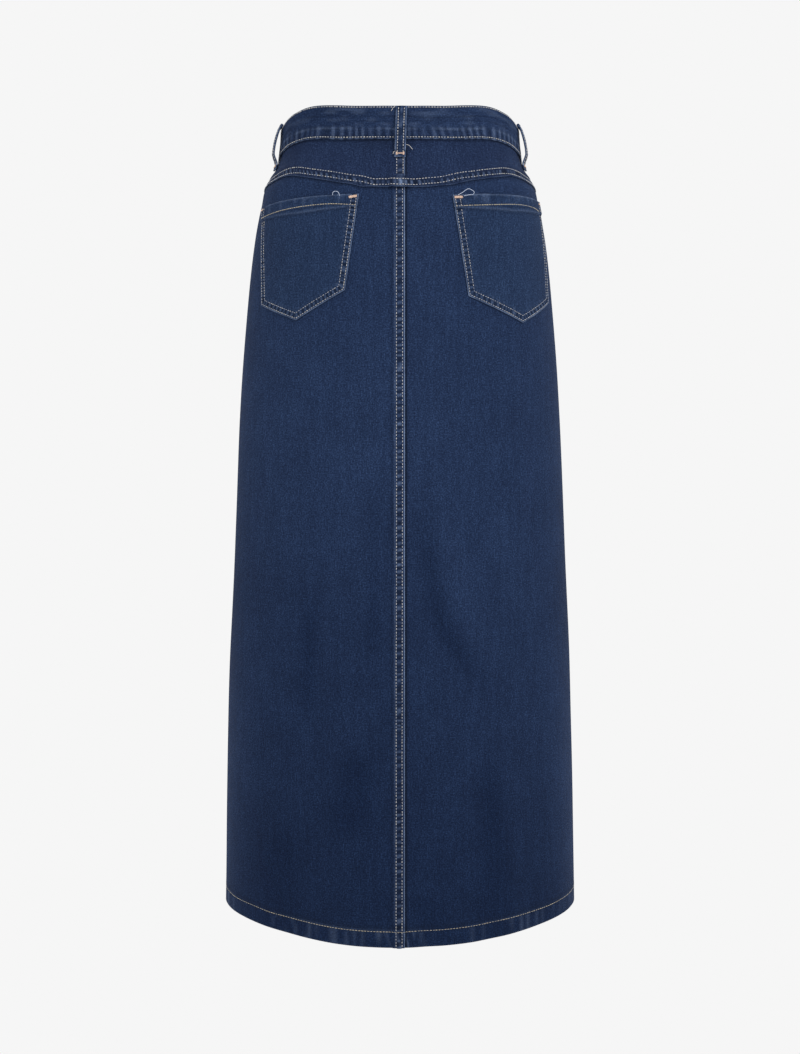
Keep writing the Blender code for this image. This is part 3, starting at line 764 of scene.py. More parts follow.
def woven_denim(name, deep, body, pale, worn, grain=1.0, turn=-0.45):
    """Stretch denim, 3/1 right-hand twill: indigo warp over a pale weft, then stone-washed.

    The warp covers the face, so the eye sees dark blue with fine pale flecks of weft, faint
    streaks where the warp yarn is uneven, and pale edges where the wash has rubbed it. Light
    is lost between its fibres, so there is no gloss, only a little sheen at a low angle.
    """
    material = new_finish(name)
    cloth = cloth_place(material)
    # Wales are 0.9 mm apart; drawn 1.1 mm, as they would not show otherwise
    wales = ribbed(material, cloth, turn, 1.1, 1.6, detail={
        "Detail": 2.0, "Detail Scale": 1.5, "Detail Roughness": 0.6,
    })
    # Warp yarns 0.45 mm thick, uneven over some 8 mm of their length, drawn 1.2 mm apart
    slub = clouded(material, stretched(material, cloth, 1.2, 8), 1.0, 3.0, 0.65)
    # Flecks of weft 0.5 mm wide, which read as groups; drawn 1.6 mm
    flecks = clouded(material, cloth, 1 / 1.6, 2.0, 0.65)
    # Where the wash took more or less: streaks 6 mm by 60 mm and clouds 45 mm wide
    streaks = clouded(material, stretched(material, cloth, 6, 60), 1.0, 2.0, 0.55)
    clouds = clouded(material, cloth, 1 / 45, 3.0, 0.6)
    parts = [(wales, 0.08), (slub, 0.40), (flecks, 0.78), (streaks, 0.14), (clouds, 0.12)]
    tone = worked_out(material, "ADD", 0.5, 0.0)
    for pattern, amount in parts:
        amount *= grain
        share = worked_out(material, "MULTIPLY_ADD", pattern, amount, tone)
        tone = worked_out(material, "SUBTRACT", share, amount / 2)
    # The tones at which the three colours are reached
    ramp = add_node(material, "ShaderNodeValToRGB", {}, {0: tone})
    ramp.color_ramp.elements.new(0.5)
    for stop, reached_at, shade in zip((0, 1, 2), (0.28, 0.5, 0.80), (deep, body, pale)):
        ramp.color_ramp.elements[stop].position = reached_at
        ramp.color_ramp.elements[stop].color = linear(shade)
    # Darker down the skirt, partly painted shade; painted shade in troughs, painted light on sides
    darkening_and_shade = read_mark(material, "darkening_and_shade")
    colour = mixed(material, darkening_and_shade, ramp.outputs[0], "a8b6c3", "MULTIPLY")
    # Rubbed places show the pale core of the yarn, broken by the weave
    broken = ranged(material, flecks, 0.25, 0.7, 0.45, 1.15)
    rubbed = worked_out(material, "MULTIPLY", read_mark(material, "wear"), broken, use_clamp=True)
    colour = mixed(material, rubbed, colour, worn)
    # Darker where a piece marks it: pucker hollows, stitch rows, painted shade by edges and creases
    colour = mixed(material, read_mark(material, "dark"), colour, "0f1728")
    height = worked_out(material, "MULTIPLY_ADD", wales, 0.6, slub)
    height = worked_out(material, "ADD", height, flecks)
    return finish_with(material, "ShaderNodeBsdfPrincipled", {
        "Base Color": colour, "Roughness": ranged(material, flecks, 0.3, 0.7, 0.95, 0.82),
        "IOR": 1.5, "Specular IOR Level": 0.08, "Sheen Weight": 0.02, "Sheen Roughness": 0.45,
        "Sheen Tint": linear("8fa0c4"), "Normal": bumped(material, 0.55, 0.25, height),
    })


def spun_thread(name, colour, dusty, shade):
    """Core-spun polyester topstitching thread, two-ply twisted and washed with the denim.

    Its twist gives short slanting lights, and the indigo has rubbed off on it in places.
    """
    material = new_finish(name)
    # Plies 0.35 mm wide, drawn 0.6 mm
    plies = ribbed(material, cloth_place(material), 0.6, 0.6, 0.6)
    base = mixed(material, read_mark(material, "tone"), colour, dusty)
    base = mixed(material, worked_out(material, "MULTIPLY", plies, 0.35), base, shade)
    return finish_with(material, "ShaderNodeBsdfPrincipled", {
        "Base Color": base, "Roughness": 0.62, "IOR": 1.5, "Sheen Weight": 0.15,
        "Normal": bumped(material, 0.5, 0.1, plies),
    })


def cast_brass(name, light, dark, roughness, pit_mm):
    """Antique brass, cast or stamped, tumbled and oxidised brown, then rubbed back.

    The eye sees a warm soft shine on what stands out and brown in what lies low.
    """
    material = new_finish(name)
    where = add_node(material, "ShaderNodeTexCoord").outputs["Object"]
    stains = clouded(material, where, 1 / (2.2 * MM), 4.0, 0.65)
    pits = clouded(material, where, 1 / (pit_mm * MM), 2.0)
    amount = ranged(material, stains, 0.4, 0.68, 0.0, 1.0)
    return finish_with(material, "ShaderNodeBsdfPrincipled", {
        "Base Color": mixed(material, amount, light, dark), "Metallic": 1.0,
        "Roughness": ranged(material, stains, 0.35, 0.7, roughness, roughness + 0.22),
        "Normal": bumped(material, 0.25, 0.05, pits),
    })


def woven_tape(name, colour, light):
    """Polyester zip tape in a herringbone weave, piece-dyed navy: matt, with fine ribs."""
    material = new_finish(name)
    cloth = cloth_place(material)
    # Ribs 1 mm apart; where they turn back, every 4 mm, is too small to see behind the fly
    ribs = ribbed(material, cloth, 0.8, 1.0, 0.8, "TRI")
    tone = worked_out(material, "MULTIPLY", ribs, clouded(material, cloth, 1 / 0.7, 2.0))
    return finish_with(material, "ShaderNodeBsdfPrincipled", {
        "Base Color": mixed(material, tone, colour, light), "Roughness": 0.85, "IOR": 1.5,
        "Sheen Weight": 0.2, "Normal": bumped(material, 0.4, 0.15, ribs),
    })


panel_denim = woven_denim("stretch_denim_panels", "131d34", "1f2e4b", "3a5077", "7c8fb0")
yoke_denim = woven_denim("stretch_denim_yokes", "121b32", "1d2a46", "384b6f", "7c8fb0")
pocket_denim = woven_denim("stretch_denim_pockets", "141f36", "20304c", "3d5378", "8092b2")
band_denim = woven_denim("stretch_denim_waistband", "141e36", "202f4c", "3c5076", "7c8fb0")
loop_denim = woven_denim("stretch_denim_loops", "152036", "233350", "475b80", "8596b4")
reverse_denim = woven_denim(
    "stretch_denim_reverse", "414e64", "5f6d83", "8f9aab", "b9c0c9", grain=0.8, turn=0.45
)
cream_thread = spun_thread("cream_spun_thread", "d2cfc9", "868ea2", "85858a")
tan_thread = spun_thread("tan_spun_thread", "bdb299", "838486", "7b7467")
peach_thread = spun_thread("peach_bartack_thread", "e6c9b4", "cba58f", "a98471")
blue_thread = spun_thread("pale_blue_lint_thread", "c3cde0", "9fb0cf", "8292b3")
antique_brass = cast_brass("antique_brass", "a8844c", "5d4527", 0.34, 0.4)
zip_brass = cast_brass("tumbled_zip_brass", "b8954f", "7a5f33", 0.3, 0.3)
navy_tape = woven_tape("navy_herringbone_tape", "171f33", "36415c")


# ---------------------------------------------------------------- panels, yokes and waistband

FOLD = LAYER / 2  # radius of a pressed fold, in the middle of the cloth
FOLD_OUT = FOLD + CLOTH / 2
FOLDED_STEP = 2.6 * MM  # between places on cloth that is turned inside
HEM_SHARE = 0.026  # of a panel's height, that the turned hem takes up

# Where each piece lies on the cloth, in mm, so that no two of them show the same grain
GRAIN_AT = {"back_panel": 0, "back_yoke": 340, "front_panel": 700, "waistband": 900,
            "pocket_left": 1300, "pocket_right": 1600, "belt_loops": 2000}

# Darker down the skirt, partly painted shade: mm below, 0 to 1. Troughs get painted shade
DARKENING_DOWN = [(0, 0.08), (60, 0.10), (150, 0.14), (230, 0.13), (330, 0.04), (450, 0.20), (580, 0.50),
        (700, 0.63), (790, 0.82), (905, 0.90)]
# How much of that the sides are spared, as painted light, and what is added on the right
SIDES_PAINTED_LIGHT = [(0, 0.85), (400, 0.3), (528, -0.35), (620, 0.2), (742, 1), (800, 0.95), (870, 0.6),
               (905, 0.55)]
RIGHT_DARKENING = [(0, 0), (200, 0.06), (315, 0.2), (450, 0.04), (528, -0.1), (742, -0.08), (850, 0)]
# How far round the sides begin and are fully reached, and the painted shade that a millimetre
# of trough adds; a ridge takes it off as painted light
SIDE_ZONE = (0.58, 0.95)
CREASE_PAINTED_SHADE = 0.17


def darkening_and_shade_at(around, below):
    """Darkness drawn here, 0 to 1: painted light on the sides, painted shade in crease troughs."""
    to_side = ease(1 - np.abs(np.abs(around) - 1), *SIDE_ZONE)
    spared = to_side * between(below / MM, SIDES_PAINTED_LIGHT)
    all_over = between(below / MM, DARKENING_DOWN) * (1 - spared)
    right = ease(around, -0.1, 0.5) * (1 - to_side) * between(below / MM, RIGHT_DARKENING)
    return np.clip(all_over + right - CREASE_PAINTED_SHADE * creased(around, below) / MM, 0, 1)


def column_table(first, fine_to, fine, wide):
    """Columns from a free edge to the side seam, then folded back inside as its allowance.

    Each has a start, a share of what is left, shifts along and out, the normal's parts along
    and out, and its distance from a free edge.
    """
    columns = [(first + e, 0, 0, 0, 0, 1, e) for e in EDGE]
    columns += [(x, 0, 0, 0, 0, 1, x - first) for x in steps(first + EDGE_WIDTH, fine_to, fine)]
    columns += [(fine_to, share, 0, 0, 0, 1, 1) for share in steps(0, 1, wide)]
    fold_at = len(columns)
    columns += [(fine_to, 1, FOLD * s, -FOLD * (1 - c), s, c, 1) for s, c in half_turn(8)]
    width = SEAM_ALLOWANCE - EDGE_WIDTH
    columns += [(fine_to, 1, -x, -2 * FOLD, 0, -1, 1) for x in steps(0, width, FOLDED_STEP)]
    columns += [(fine_to, 1, e - SEAM_ALLOWANCE, -2 * FOLD, 0, -1, e) for e in EDGE_BACK]
    return np.array(columns), fold_at


def row_table(above, tall):
    """Rows from a hidden top edge down to the hem, which is turned up inside.

    Each has a share of the height, shifts down and out, the normal's parts down and out, and
    its distance from a free edge.
    """
    rows = [(0, e - above, 0, 0, 1, e) for e in EDGE]
    rows += [(0, x, 0, 0, 1, 1) for x in steps(EDGE_WIDTH - above, 0, 3 * MM)]
    rows += [(share, 0, 0, 0, 1, 1) for share in steps(0, 1, tall)]
    fold_at = len(rows)
    rows += [(1, FOLD * s, -FOLD * (1 - c), s, c, 1) for s, c in half_turn(8)]
    width = HEM_TURN - EDGE_WIDTH
    rows += [(1, -x, -2 * FOLD, 0, -1, 1) for x in steps(0, width, FOLDED_STEP)]
    rows += [(1, e - HEM_TURN, -2 * FOLD, 0, -1, e) for e in EDGE_BACK]
    return np.array(rows), fold_at


def lay_sheet(side, is_front, distance, below, out, along_n, down_n, out_n, thick):
    """Points this thick off the sheet's middle, with the direction given by the normal's parts."""
    return lay(side, is_front, distance + along_n * thick, below + down_n * thick,
               out + out_n * thick)


def add_panel(side, is_front):
    """A panel down to the hem, from under the yoke at the back or inside the band in front.

    The left one laps the right one, in the felled centre seam or over the zip.
    """
    if is_front:
        columns, side_fold = column_table(-LAP, 17.5 * MM, 1.3 * MM, 1 / 46)
        rows, hem_fold = row_table(BAND_GRIP, 1 / 320)
    else:
        columns, side_fold = column_table(CENTRE_EDGE[side], 14 * MM, 0.8 * MM, 1 / 58)
        rows, hem_fold = row_table(YOKE_LAP, 1 / 456)
    c, r = columns[None, :, :], rows[:, None, :]
    place_round = 2 - c[..., 1] if is_front else c[..., 1]
    around = side * place_round
    seam = on_line(BAND_FOOT, place_round) if is_front else yoke_foot(around)
    hem = on_line(HEM, place_round) - FOLD_OUT
    below = seam + r[..., 0] * (hem - seam) + r[..., 1]
    width = quarter_length(below, is_front) - FOLD_OUT
    distance = c[..., 0] + c[..., 1] * (width - c[..., 0]) + c[..., 2]
    lie = -fly_drop(side, distance, below) if is_front else LAYER * back_lap(side, distance)
    out = lie + c[..., 3] + r[..., 2]
    face = front_panel_face if is_front else back_panel_face
    relief, wear, dark = face(side, distance, below, around)
    is_face = ((r[..., 4] > 0.3) & (c[..., 5] > 0.3)).astype(float)
    full = CLOTH / 2 * np.minimum(roundness(r[..., 5]), roundness(c[..., 6]))
    normal = (c[..., 4] + 0 * below, r[..., 3] + 0 * below, r[..., 4] * c[..., 5])
    outer = lay_sheet(side, is_front, distance, below, out, *normal, full + relief * MM * is_face)
    inner = lay_sheet(side, is_front, distance, below, out, *normal, -full)
    # No allowance inside the turned hem, and no turned hem where two would be in one place
    kept = all_cells(rows, columns)
    turned_hem = (hem_fold + 4) // 2
    above_hem = int(np.searchsorted(rows[:hem_fold, 0], 1 - HEM_SHARE)) // 2
    kept[above_hem:, side_fold // 2 + 2 :] = False
    if not is_front:
        kept[turned_hem:, side_fold // 2 :] = False
    if side == LEFT:
        lap_end = LAP + GAP if is_front else FELL_END
        kept[turned_hem:, : int(np.sum(columns[:side_fold, 0] < lap_end)) // 2] = False
    kind = "front_panel" if is_front else "back_panel"
    start = GRAIN_AT[kind]
    uv = np.stack([start + distance * side / MM, -below / MM + 0 * distance], -1)
    marks = {"wear": wear * is_face, "dark": dark * is_face, "darkening_and_shade": darkening_and_shade_at(around, below)}
    return add_denim(f"{kind}_{WORD[side]}", outer, inner, uv, marks,
                     [panel_denim, reverse_denim], kept)


def yoke_lie(side, distance, below, around):
    """How far out a yoke's middle is: over the left lap, and over both panels lower down."""
    foot = yoke_foot(around)
    start = foot - YOKE_LAP - GAP - BACK_SLOPE
    over = ease(below, start, start + BACK_SLOPE)
    near = 1 - ease(distance, LAP + GAP, LAP + GAP + BACK_SLOPE)
    return LAYER * (over * (1 + near) + (near if side == LEFT else 0))


def add_yoke(side):
    """A back yoke, from inside the waistband to where it laps the panel."""
    first = CENTRE_EDGE[side]
    fine_to = 15 * MM
    columns = [(first + e, 0, e) for e in EDGE]
    columns += [(x, 0, x - first) for x in steps(first + EDGE_WIDTH, fine_to, 0.8 * MM)]
    columns += [(fine_to, share, 1) for share in steps(0, 0.992, 1 / 130)]
    columns += [(fine_to, 1, e) for e in EDGE_BACK]
    c = np.array(columns)[None, :, :]
    # Shares of the height from the band's foot, and how far above it inside the band
    hidden = steps(EDGE_WIDTH - BAND_GRIP, 0, 2.4 * MM)
    rows = [(0, e - BAND_GRIP, e) for e in EDGE]
    rows += [(0, x, 1) for x in hidden]
    rows += [(share, 0, 1) for share in steps(0, 0.985, 1 / 44)]
    rows += [(1, -e, e) for e in EDGE_BACK]
    r = np.array(rows)[:, None, :]
    around = side * c[..., 1]
    seam, foot = on_line(BAND_FOOT, c[..., 1]), yoke_foot(around)
    below = seam + r[..., 0] * (foot - seam) + r[..., 1]
    width = quarter_length(below) + GAP
    last = np.where(c[..., 1] == 1, c[..., 2], 0)
    distance = c[..., 0] + c[..., 1] * (width - c[..., 0]) - last
    out = yoke_lie(side, distance, below, around)
    relief, wear, dark = yoke_face(side, distance, below, around)
    full = CLOTH / 2 * np.minimum(roundness(r[..., 2]), roundness(c[..., 2]))
    up = (0 * below, 0 * below, 1 + 0 * below)
    outer = lay_sheet(side, False, distance, below, out, *up, full + relief * MM)
    inner = lay_sheet(side, False, distance, below, out, *up, -full)
    kept = all_cells(rows, columns)
    if side == LEFT:
        lap = int(np.sum(c[0, :, 0][c[0, :, 1] == 0] < LAP + GAP + BACK_SLOPE)) // 2
        kept[: (4 + len(hidden)) // 2, :lap] = False
    start = GRAIN_AT["back_yoke"]
    uv = np.stack([distance * side / MM + start, -below / MM + 0.12 * distance / MM], -1)
    marks = {"wear": wear, "dark": dark, "darkening_and_shade": darkening_and_shade_at(around, below)}
    return add_denim(f"back_yoke_{WORD[side]}", outer, inner, uv, marks,
                     [yoke_denim, reverse_denim], kept)


def band_path():
    """Columns along the waistband, from its left end round the back to its right end.

    Each has a side, which half it is on, a start, a share of the rest to the side seam, and its
    distance from an end.
    """
    fly, front_step, back_step = LAP + GAP + FLY_SLOPE, 1 / 116, 1 / 140
    path = [(LEFT, 1, e - LAP, 0, e) for e in EDGE]
    path += [(LEFT, 1, x, 0, 1) for x in steps(EDGE_WIDTH - LAP, fly, 1.3 * MM)]
    path += [(LEFT, 1, fly, share, 1) for share in steps(0, 1, front_step)]
    path += [(LEFT, 0, 0, share, 1) for share in steps(1, 0, back_step)]
    path += [(RIGHT, 0, 0, share, 1) for share in steps(0, 1, back_step)]
    path += [(RIGHT, 1, fly, share, 1) for share in steps(1, 0, front_step)]
    path += [(RIGHT, 1, x, 0, 1) for x in steps(fly, LAP - UNDERLAP + EDGE_WIDTH, 1.5 * MM)]
    path += [(RIGHT, 1, LAP - UNDERLAP + e, 0, e) for e in EDGE_BACK]
    return np.array(path)


def on_band(path, below, out):
    """Points on the waistband, with the right end inside the left one; x to the right; around."""
    side, is_front, start, share = (path[..., k] for k in range(4))
    width = np.where(is_front > 0, quarter_length(below, True), quarter_length(below))
    distance = start + share * (width - start)
    drop = fly_drop(RIGHT, distance, 0 * below) * (side > 0) * (is_front > 0)
    share = distance / width
    around = side * np.where(is_front > 0, 2 - share, share)
    return place(around, below, out - drop + drape(around, below)), side * distance, around


def band_edges(path):
    """The waistband's top and foot at each column's own place round the skirt."""
    place_round = np.where(path[..., 1] > 0, 2 - path[..., 3], path[..., 3])
    return on_line(BAND_TOP, place_round), on_line(BAND_FOOT, place_round)


def along_band(path):
    """Running lengths along the waistband's middle, from the centre back."""
    middle, _, _ = on_band(path, np.full(len(path), 20 * MM), np.zeros(len(path)))
    run = running_length(middle)
    return run - run[np.argmin(np.abs(path[:, 3]) + (path[:, 1] > 0))]


def add_waistband():
    """One strip folded lengthwise over the skirt's top edge, open at the centre front."""
    path = band_path()
    length = along_band(path)
    # Across the strip: share of the height, shift down, out, normal's parts down and out, edge
    rows = [(1, -e, BAND_LAYER, 0, 1, e) for e in EDGE]
    rows += [(share, 0, BAND_LAYER, 0, 1, 1) for share in steps(0.985, 0.07, 1 / 30)]
    crest = BAND_LAYER + CLOTH / 2
    rows += [(0, crest - BAND_LAYER * s, BAND_LAYER * c, -s, c, 1) for s, c in half_turn(10)]
    rows += [(share, 0, -BAND_LAYER, 0, -1, 1) for share in steps(0.07, 0.985, 1 / 26)]
    rows += [(1, -e, -BAND_LAYER, 0, -1, e) for e in EDGE_BACK]
    rows = np.array(rows)
    p, r = path[None, :, :], rows[:, None, :]
    top, foot = band_edges(p)
    below = top + r[..., 0] * (foot - top) + r[..., 1]
    share = np.clip((below - top) / (foot - top), 0, 1)
    out = r[..., 2] + 0 * below
    _, x, around = on_band(p, below, out)
    run = length[None, :] + 0 * below
    relief, wear, dark = band_face(run, share)
    is_face = (r[..., 4] > 0.2).astype(float)
    full = CLOTH / 2 * np.minimum(roundness(r[..., 5]), roundness(p[..., 4]))
    thick = full + relief * MM * is_face
    outer, _, _ = on_band(p, below + r[..., 3] * thick, out + r[..., 4] * thick)
    inner, _, _ = on_band(p, below - r[..., 3] * full, out - r[..., 4] * full)
    # The buttonhole, 3 mm by 18 mm, through both sides of the left end
    kept = all_cells(rows, path)
    middle = (share[:-2:2] + share[2::2])[:, :-2:2] / 2
    place_x = (x[:, :-2:2] + x[:, 2::2])[:-2:2] / 2
    on_left = (p[0, 1:-1:2, 0] < 0) & (p[0, 1:-1:2, 1] > 0)
    slot = (np.abs(middle - 0.5) < 0.045) & (np.abs(place_x - BUTTON_AT) < 9 * MM)
    kept &= ~(slot & on_left[None, :])
    start, inside = GRAIN_AT["waistband"], 40 * (r[..., 4] < 0)
    uv = np.stack([share * 36 + inside + start, run / MM], -1)
    # The left of its back is drawn darker
    darker_left = 0.26 * ease(-around, 0, 0.15) * (1 - ease(-around, 0.8, 1.2))
    marks = {"wear": wear * (0.3 + 0.7 * is_face), "dark": dark * is_face, "darkening_and_shade": 0.1 + darker_left}
    return add_denim("waistband", outer, inner, uv, marks, [band_denim, reverse_denim], kept)


# ---------------------------------------------------------------- pockets and belt loops

POCKET_CLEAR = 0.35 * MM
POCKET_DEPTH = 110 * MM  # of its shortest side, which every place down it is a share of
POCKET_SLACK = 1.1 * MM


def pocket_level(down):
    """How far out a pocket's face is: lower where its hem inside has ended."""
    return 2 * LAYER + POCKET_CLEAR - LAYER * ease(down, 12.5 * MM, 16 * MM)


def pocket_point(corners, share, fraction):
    """Distance from the centre back and below, at a share across and a fraction down."""
    inner_top, inner_foot, point, outer_foot, outer_top = np.array(corners) * MM
    share, fraction = np.broadcast_arrays(share, fraction)
    s = share[..., None]
    top = inner_top * (1 - s) + outer_top * s
    top = top - np.array([0, 1.0 * MM]) * 4 * s * (1 - s)
    half = np.clip(2 * s, 0, 1), np.clip(2 * s - 1, 0, 1)
    foot = np.where(s < 0.5, inner_foot * (1 - half[0]) + point * half[0],
                    point * (1 - half[1]) + outer_foot * half[1])
    spot = top * (1 - fraction[..., None]) + foot * fraction[..., None]
    return spot[..., 0], spot[..., 1]


def add_pocket(name):
    """A patch pocket, open at the top, with its hem turned inside and its edges pressed under."""
    side, *corners = POCKETS[name]
    width, depth = 134 * MM, POCKET_DEPTH
    columns = [(e / width, e) for e in EDGE]
    columns += [(x, 1) for x in steps(EDGE_WIDTH / width, 0.5, 1 / 116)]
    columns += [(x, 1) for x in steps(0.5, 1 - EDGE_WIDTH / width, 1 / 116)]
    columns += [(1 - e / width, e) for e in EDGE_BACK]
    low, high = LAYER + POCKET_CLEAR, 2 * LAYER + POCKET_CLEAR
    rows = [(POCKET_HEM - e, low, 0, -1, e) for e in EDGE]
    rows += [(x, low, 0, -1, 1) for x in steps(POCKET_HEM - EDGE_WIDTH, FOLD, FOLDED_STEP)]
    rows += [(FOLD * (1 - s), (low + high) / 2 - FOLD * c, -s, -c, 1) for s, c in half_turn(8)]
    rows += [(x, pocket_level(x), 0, 1, 1) for x in steps(FOLD, depth - EDGE_WIDTH, 1.05 * MM)]
    rows += [(depth - e, low, 0, 1, e) for e in EDGE_BACK]
    c, r = np.array(columns)[None, :, :], np.array(rows)[:, None, :]
    share, down = c[..., 0], r[..., 0]
    distance, below = pocket_point(corners, share, down / depth)
    relief, wear, dark = pocket_face(name, distance, below, down + 0 * distance)
    is_face = (r[..., 3] > 0.2) + 0 * distance
    full = CLOTH / 2 * np.minimum(roundness(r[..., 4]), roundness(c[..., 1]))
    # A pocket stands off a little in its middle, more towards its mouth, but for the very fold
    slack = POCKET_SLACK * np.sin(np.pi * share) ** 2 * (1 - down / depth) ** 1.5 * (down > 0)
    free = ease(share, 0, 0.15) * (1 - ease(share, 0.85, 1)) * (1 - ease(down / depth, 0.8, 1))
    slack = slack + 0.35 * MM * unevenness(distance / (38 * MM), below / (45 * MM), 17) * free
    out = r[..., 1] + slack
    normal = (0 * below, r[..., 2] + 0 * below, r[..., 3])
    outer = lay_sheet(side, False, distance, below, out, *normal, full + relief * MM * is_face)
    inner = lay_sheet(side, False, distance, below, out, *normal, -full)
    start = GRAIN_AT[f"pocket_{name}"]
    uv = np.stack([start + distance / MM, -below / MM - 15 * (r[..., 3] < 0)], -1)
    marks = {"wear": wear * is_face, "dark": dark * is_face, "darkening_and_shade": 0.12 + 0 * below}
    return add_denim(f"back_pocket_{name}", outer, inner, uv, marks, [pocket_denim, reverse_denim])


# Belt loops: around, where the strip starts and ends in mm below the band's top, its room, how
# far it leans over to the right at its top end, and how far out its lower end is sewn down
LOOPS = {
    "belt_loop_centre_back": (0, 0.6, 57, 4.6, 1.6, 3.5),
    "belt_loop_side_left": (-0.83, -2.8, 47.5, 6.3, 0.3, 2.2),
    "belt_loop_side_right": (0.83, -2.8, 47.5, 6.3, -0.3, 2.2),
    "belt_loop_front_left": (-1.62, 0.6, 51, 5.8, 0.5, 2.1),
    "belt_loop_front_right": (1.62, 0.6, 51, 5.8, -0.4, 2.1),
}
# How much of that room each share of the strip takes: the middle loop folds sharply low down
CENTRE_BOW = [(0, 0), (0.06, 0.05), (0.2, 0.4), (0.4, 0.75), (0.65, 0.97), (0.76, 1), (0.82, 0.85),
              (0.87, 0.12), (0.91, 0), (1, 0)]
SIDE_BOW = [(0, 0), (0.05, 0.06), (0.09, 0.28), (0.16, 0.46), (0.28, 0.72), (0.45, 0.93),
            (0.6, 1), (0.73, 0.98), (0.8, 0.78), (0.85, 0.36), (0.9, 0.04), (1, 0)]


def loop_line(name, along):
    """The middle of a belt loop: around, below, out, and the normal's parts down and out."""
    around, start, end, room, lean, sewn_at = LOOPS[name]
    top = on_line(BAND_TOP, around)
    on_waistband = BAND_LAYER + CLOTH / 2 + GAP / 2 + LOOP_CLOTH / 2
    bow = SIDE_BOW if around else CENTRE_BOW

    def path(t):
        below = top + (start + t * (end - start)) * MM
        out = on_waistband + ease(t, 0.74, 0.93) * (sewn_at * MM - on_waistband)
        return below, out + between(t, bow) * room * MM

    along = np.asarray(along, float)
    (b0, o0), (b1, o1) = path(along - 0.012), path(along + 0.012)
    run = np.hypot(b1 - b0, o1 - o0)
    below, out = path(along)
    length = quarter_length(below, abs(around) > 1)
    middle = around + lean * MM * (1 - along) / length
    return middle, below, out, -(o1 - o0) / run, (b1 - b0) / run, length


def loop_points(name, x, along, thick):
    """Points of a belt loop: x across it, a share of its length, off its middle."""
    middle, below, out, down_n, out_n, length = loop_line(name, along)
    around = middle + x / length
    below, out = below + down_n * thick, out + out_n * thick
    return place(around, below, out + drape(around, below))


def on_loop(name, x, along, height):
    """A sewing line on a belt loop: its points and the normals there."""
    points = loop_points(name, x, along, height)
    return points, (loop_points(name, x, along, height + MM) - points) / MM


def add_loop(name):
    """A belt loop: a strip folded in three, its top end tucked under, sewn down at both ends."""
    around, start, end, *_ = LOOPS[name]
    is_centre = around == 0
    half, scale = LOOP_WIDTH / 2, LOOP_CLOTH / CLOTH
    flat = half - EDGE_WIDTH * scale
    columns = [(-half + e * scale, e) for e in EDGE]
    columns += [(x, 1) for x in steps(-flat, flat, 0.55 * MM)]
    columns += [(half - e * scale, e) for e in EDGE_BACK]
    span = (end - start) * MM
    first = EDGE_WIDTH * scale / span
    rows = [(e * scale / span, e) for e in EDGE]
    rows += [(t, 1) for t in steps(first, 1 - first, 1 / 74)]
    rows += [(1 - e * scale / span, e) for e in EDGE_BACK]
    c, r = np.array(columns)[None, :, :], np.array(rows)[:, None, :]
    x, along = c[..., 0] + 0 * r[..., 0], r[..., 0] + 0 * c[..., 0]
    seed = 100 + sum(map(ord, name)) % 50
    pull = np.sin(2 * np.pi * along * span / (3.3 * MM) + unevenness(along * 9, 0.5, seed) * 2)
    grooves = row_grooves(x, (-LOOP_ROW, LOOP_ROW), 0.6 * MM)
    edges = hump(np.abs(x) - 5.5 * MM, 0.9 * MM)
    relief = 0.10 * pull * edges - 0.25 * grooves + 0.15 * hump(x, 1.6 * MM)
    patchy = 0.55 + 0.45 * unevenness(along * 14, 2.5 + np.sign(x), seed)
    fold = 0.84 if is_centre else 0.9
    mottled = unevenness(x / (2.6 * MM), along * span / (4.5 * MM), seed + 1)
    wear = 0.50 * edges * patchy + 0.16 * ease(mottled, 0.1, 0.8) * (1 - edges)
    wear = wear + 0.7 * hump(along - fold, 0.018) * hump(np.abs(x) - 6.0 * MM, 1.5 * MM)
    wear = wear + 0.35 * hump(along - 1, 0.015)
    dark = 0.40 * grooves + 0.55 * (1 - edges) * ease(-mottled, -0.1, 0.5)
    # Painted shadow just below the fold at its lower end
    dark = dark + 0.6 * hump(along - fold - 0.05, 0.03)
    full = LOOP_CLOTH / 2 * np.minimum(roundness(r[..., 1]), roundness(c[..., 1]))
    tucked = 0 * along
    if not is_centre:
        dark = dark + 0.5 * hump(along, 0.03)
        full = full * (1 - 0.3 * ease(along, 0.25, 0.6) * (1 - ease(along, 0.84, 0.92)))
        tucked = 1 - ease(along, 0.06, 0.10)
    outer = loop_points(name, x, along, full + relief * MM)
    inner = loop_points(name, x, along, -full * (1 + 1.2 * tucked))
    uv = np.stack([GRAIN_AT["belt_loops"] + seed * 20 + x / MM, -along * span / MM], -1)
    marks = {"wear": wear, "dark": dark, "darkening_and_shade": 0 * x}
    return add_denim(name, outer, inner, uv, marks, [loop_denim, loop_denim])


# ---------------------------------------------------------------- topstitching

def on_cloth(around, below, out):
    """A sewing line: its points on the cloth and the cloth's normals there."""
    around, below, out = np.broadcast_arrays(*(np.asarray(a, float) for a in (around, below, out)))
    lift = out + drape(around, below)
    points = place(around, below, lift)
    return points, (place(around, below, lift + MM) - points) / MM


RING = 2 * np.pi * np.arange(6) / 6  # a thread is drawn with six corners
PLY_MM = 0.35  # between them, round the thread
LOOSE_THREAD = 0.3 * MM  # half its thickness, drawn a little full so that it shows


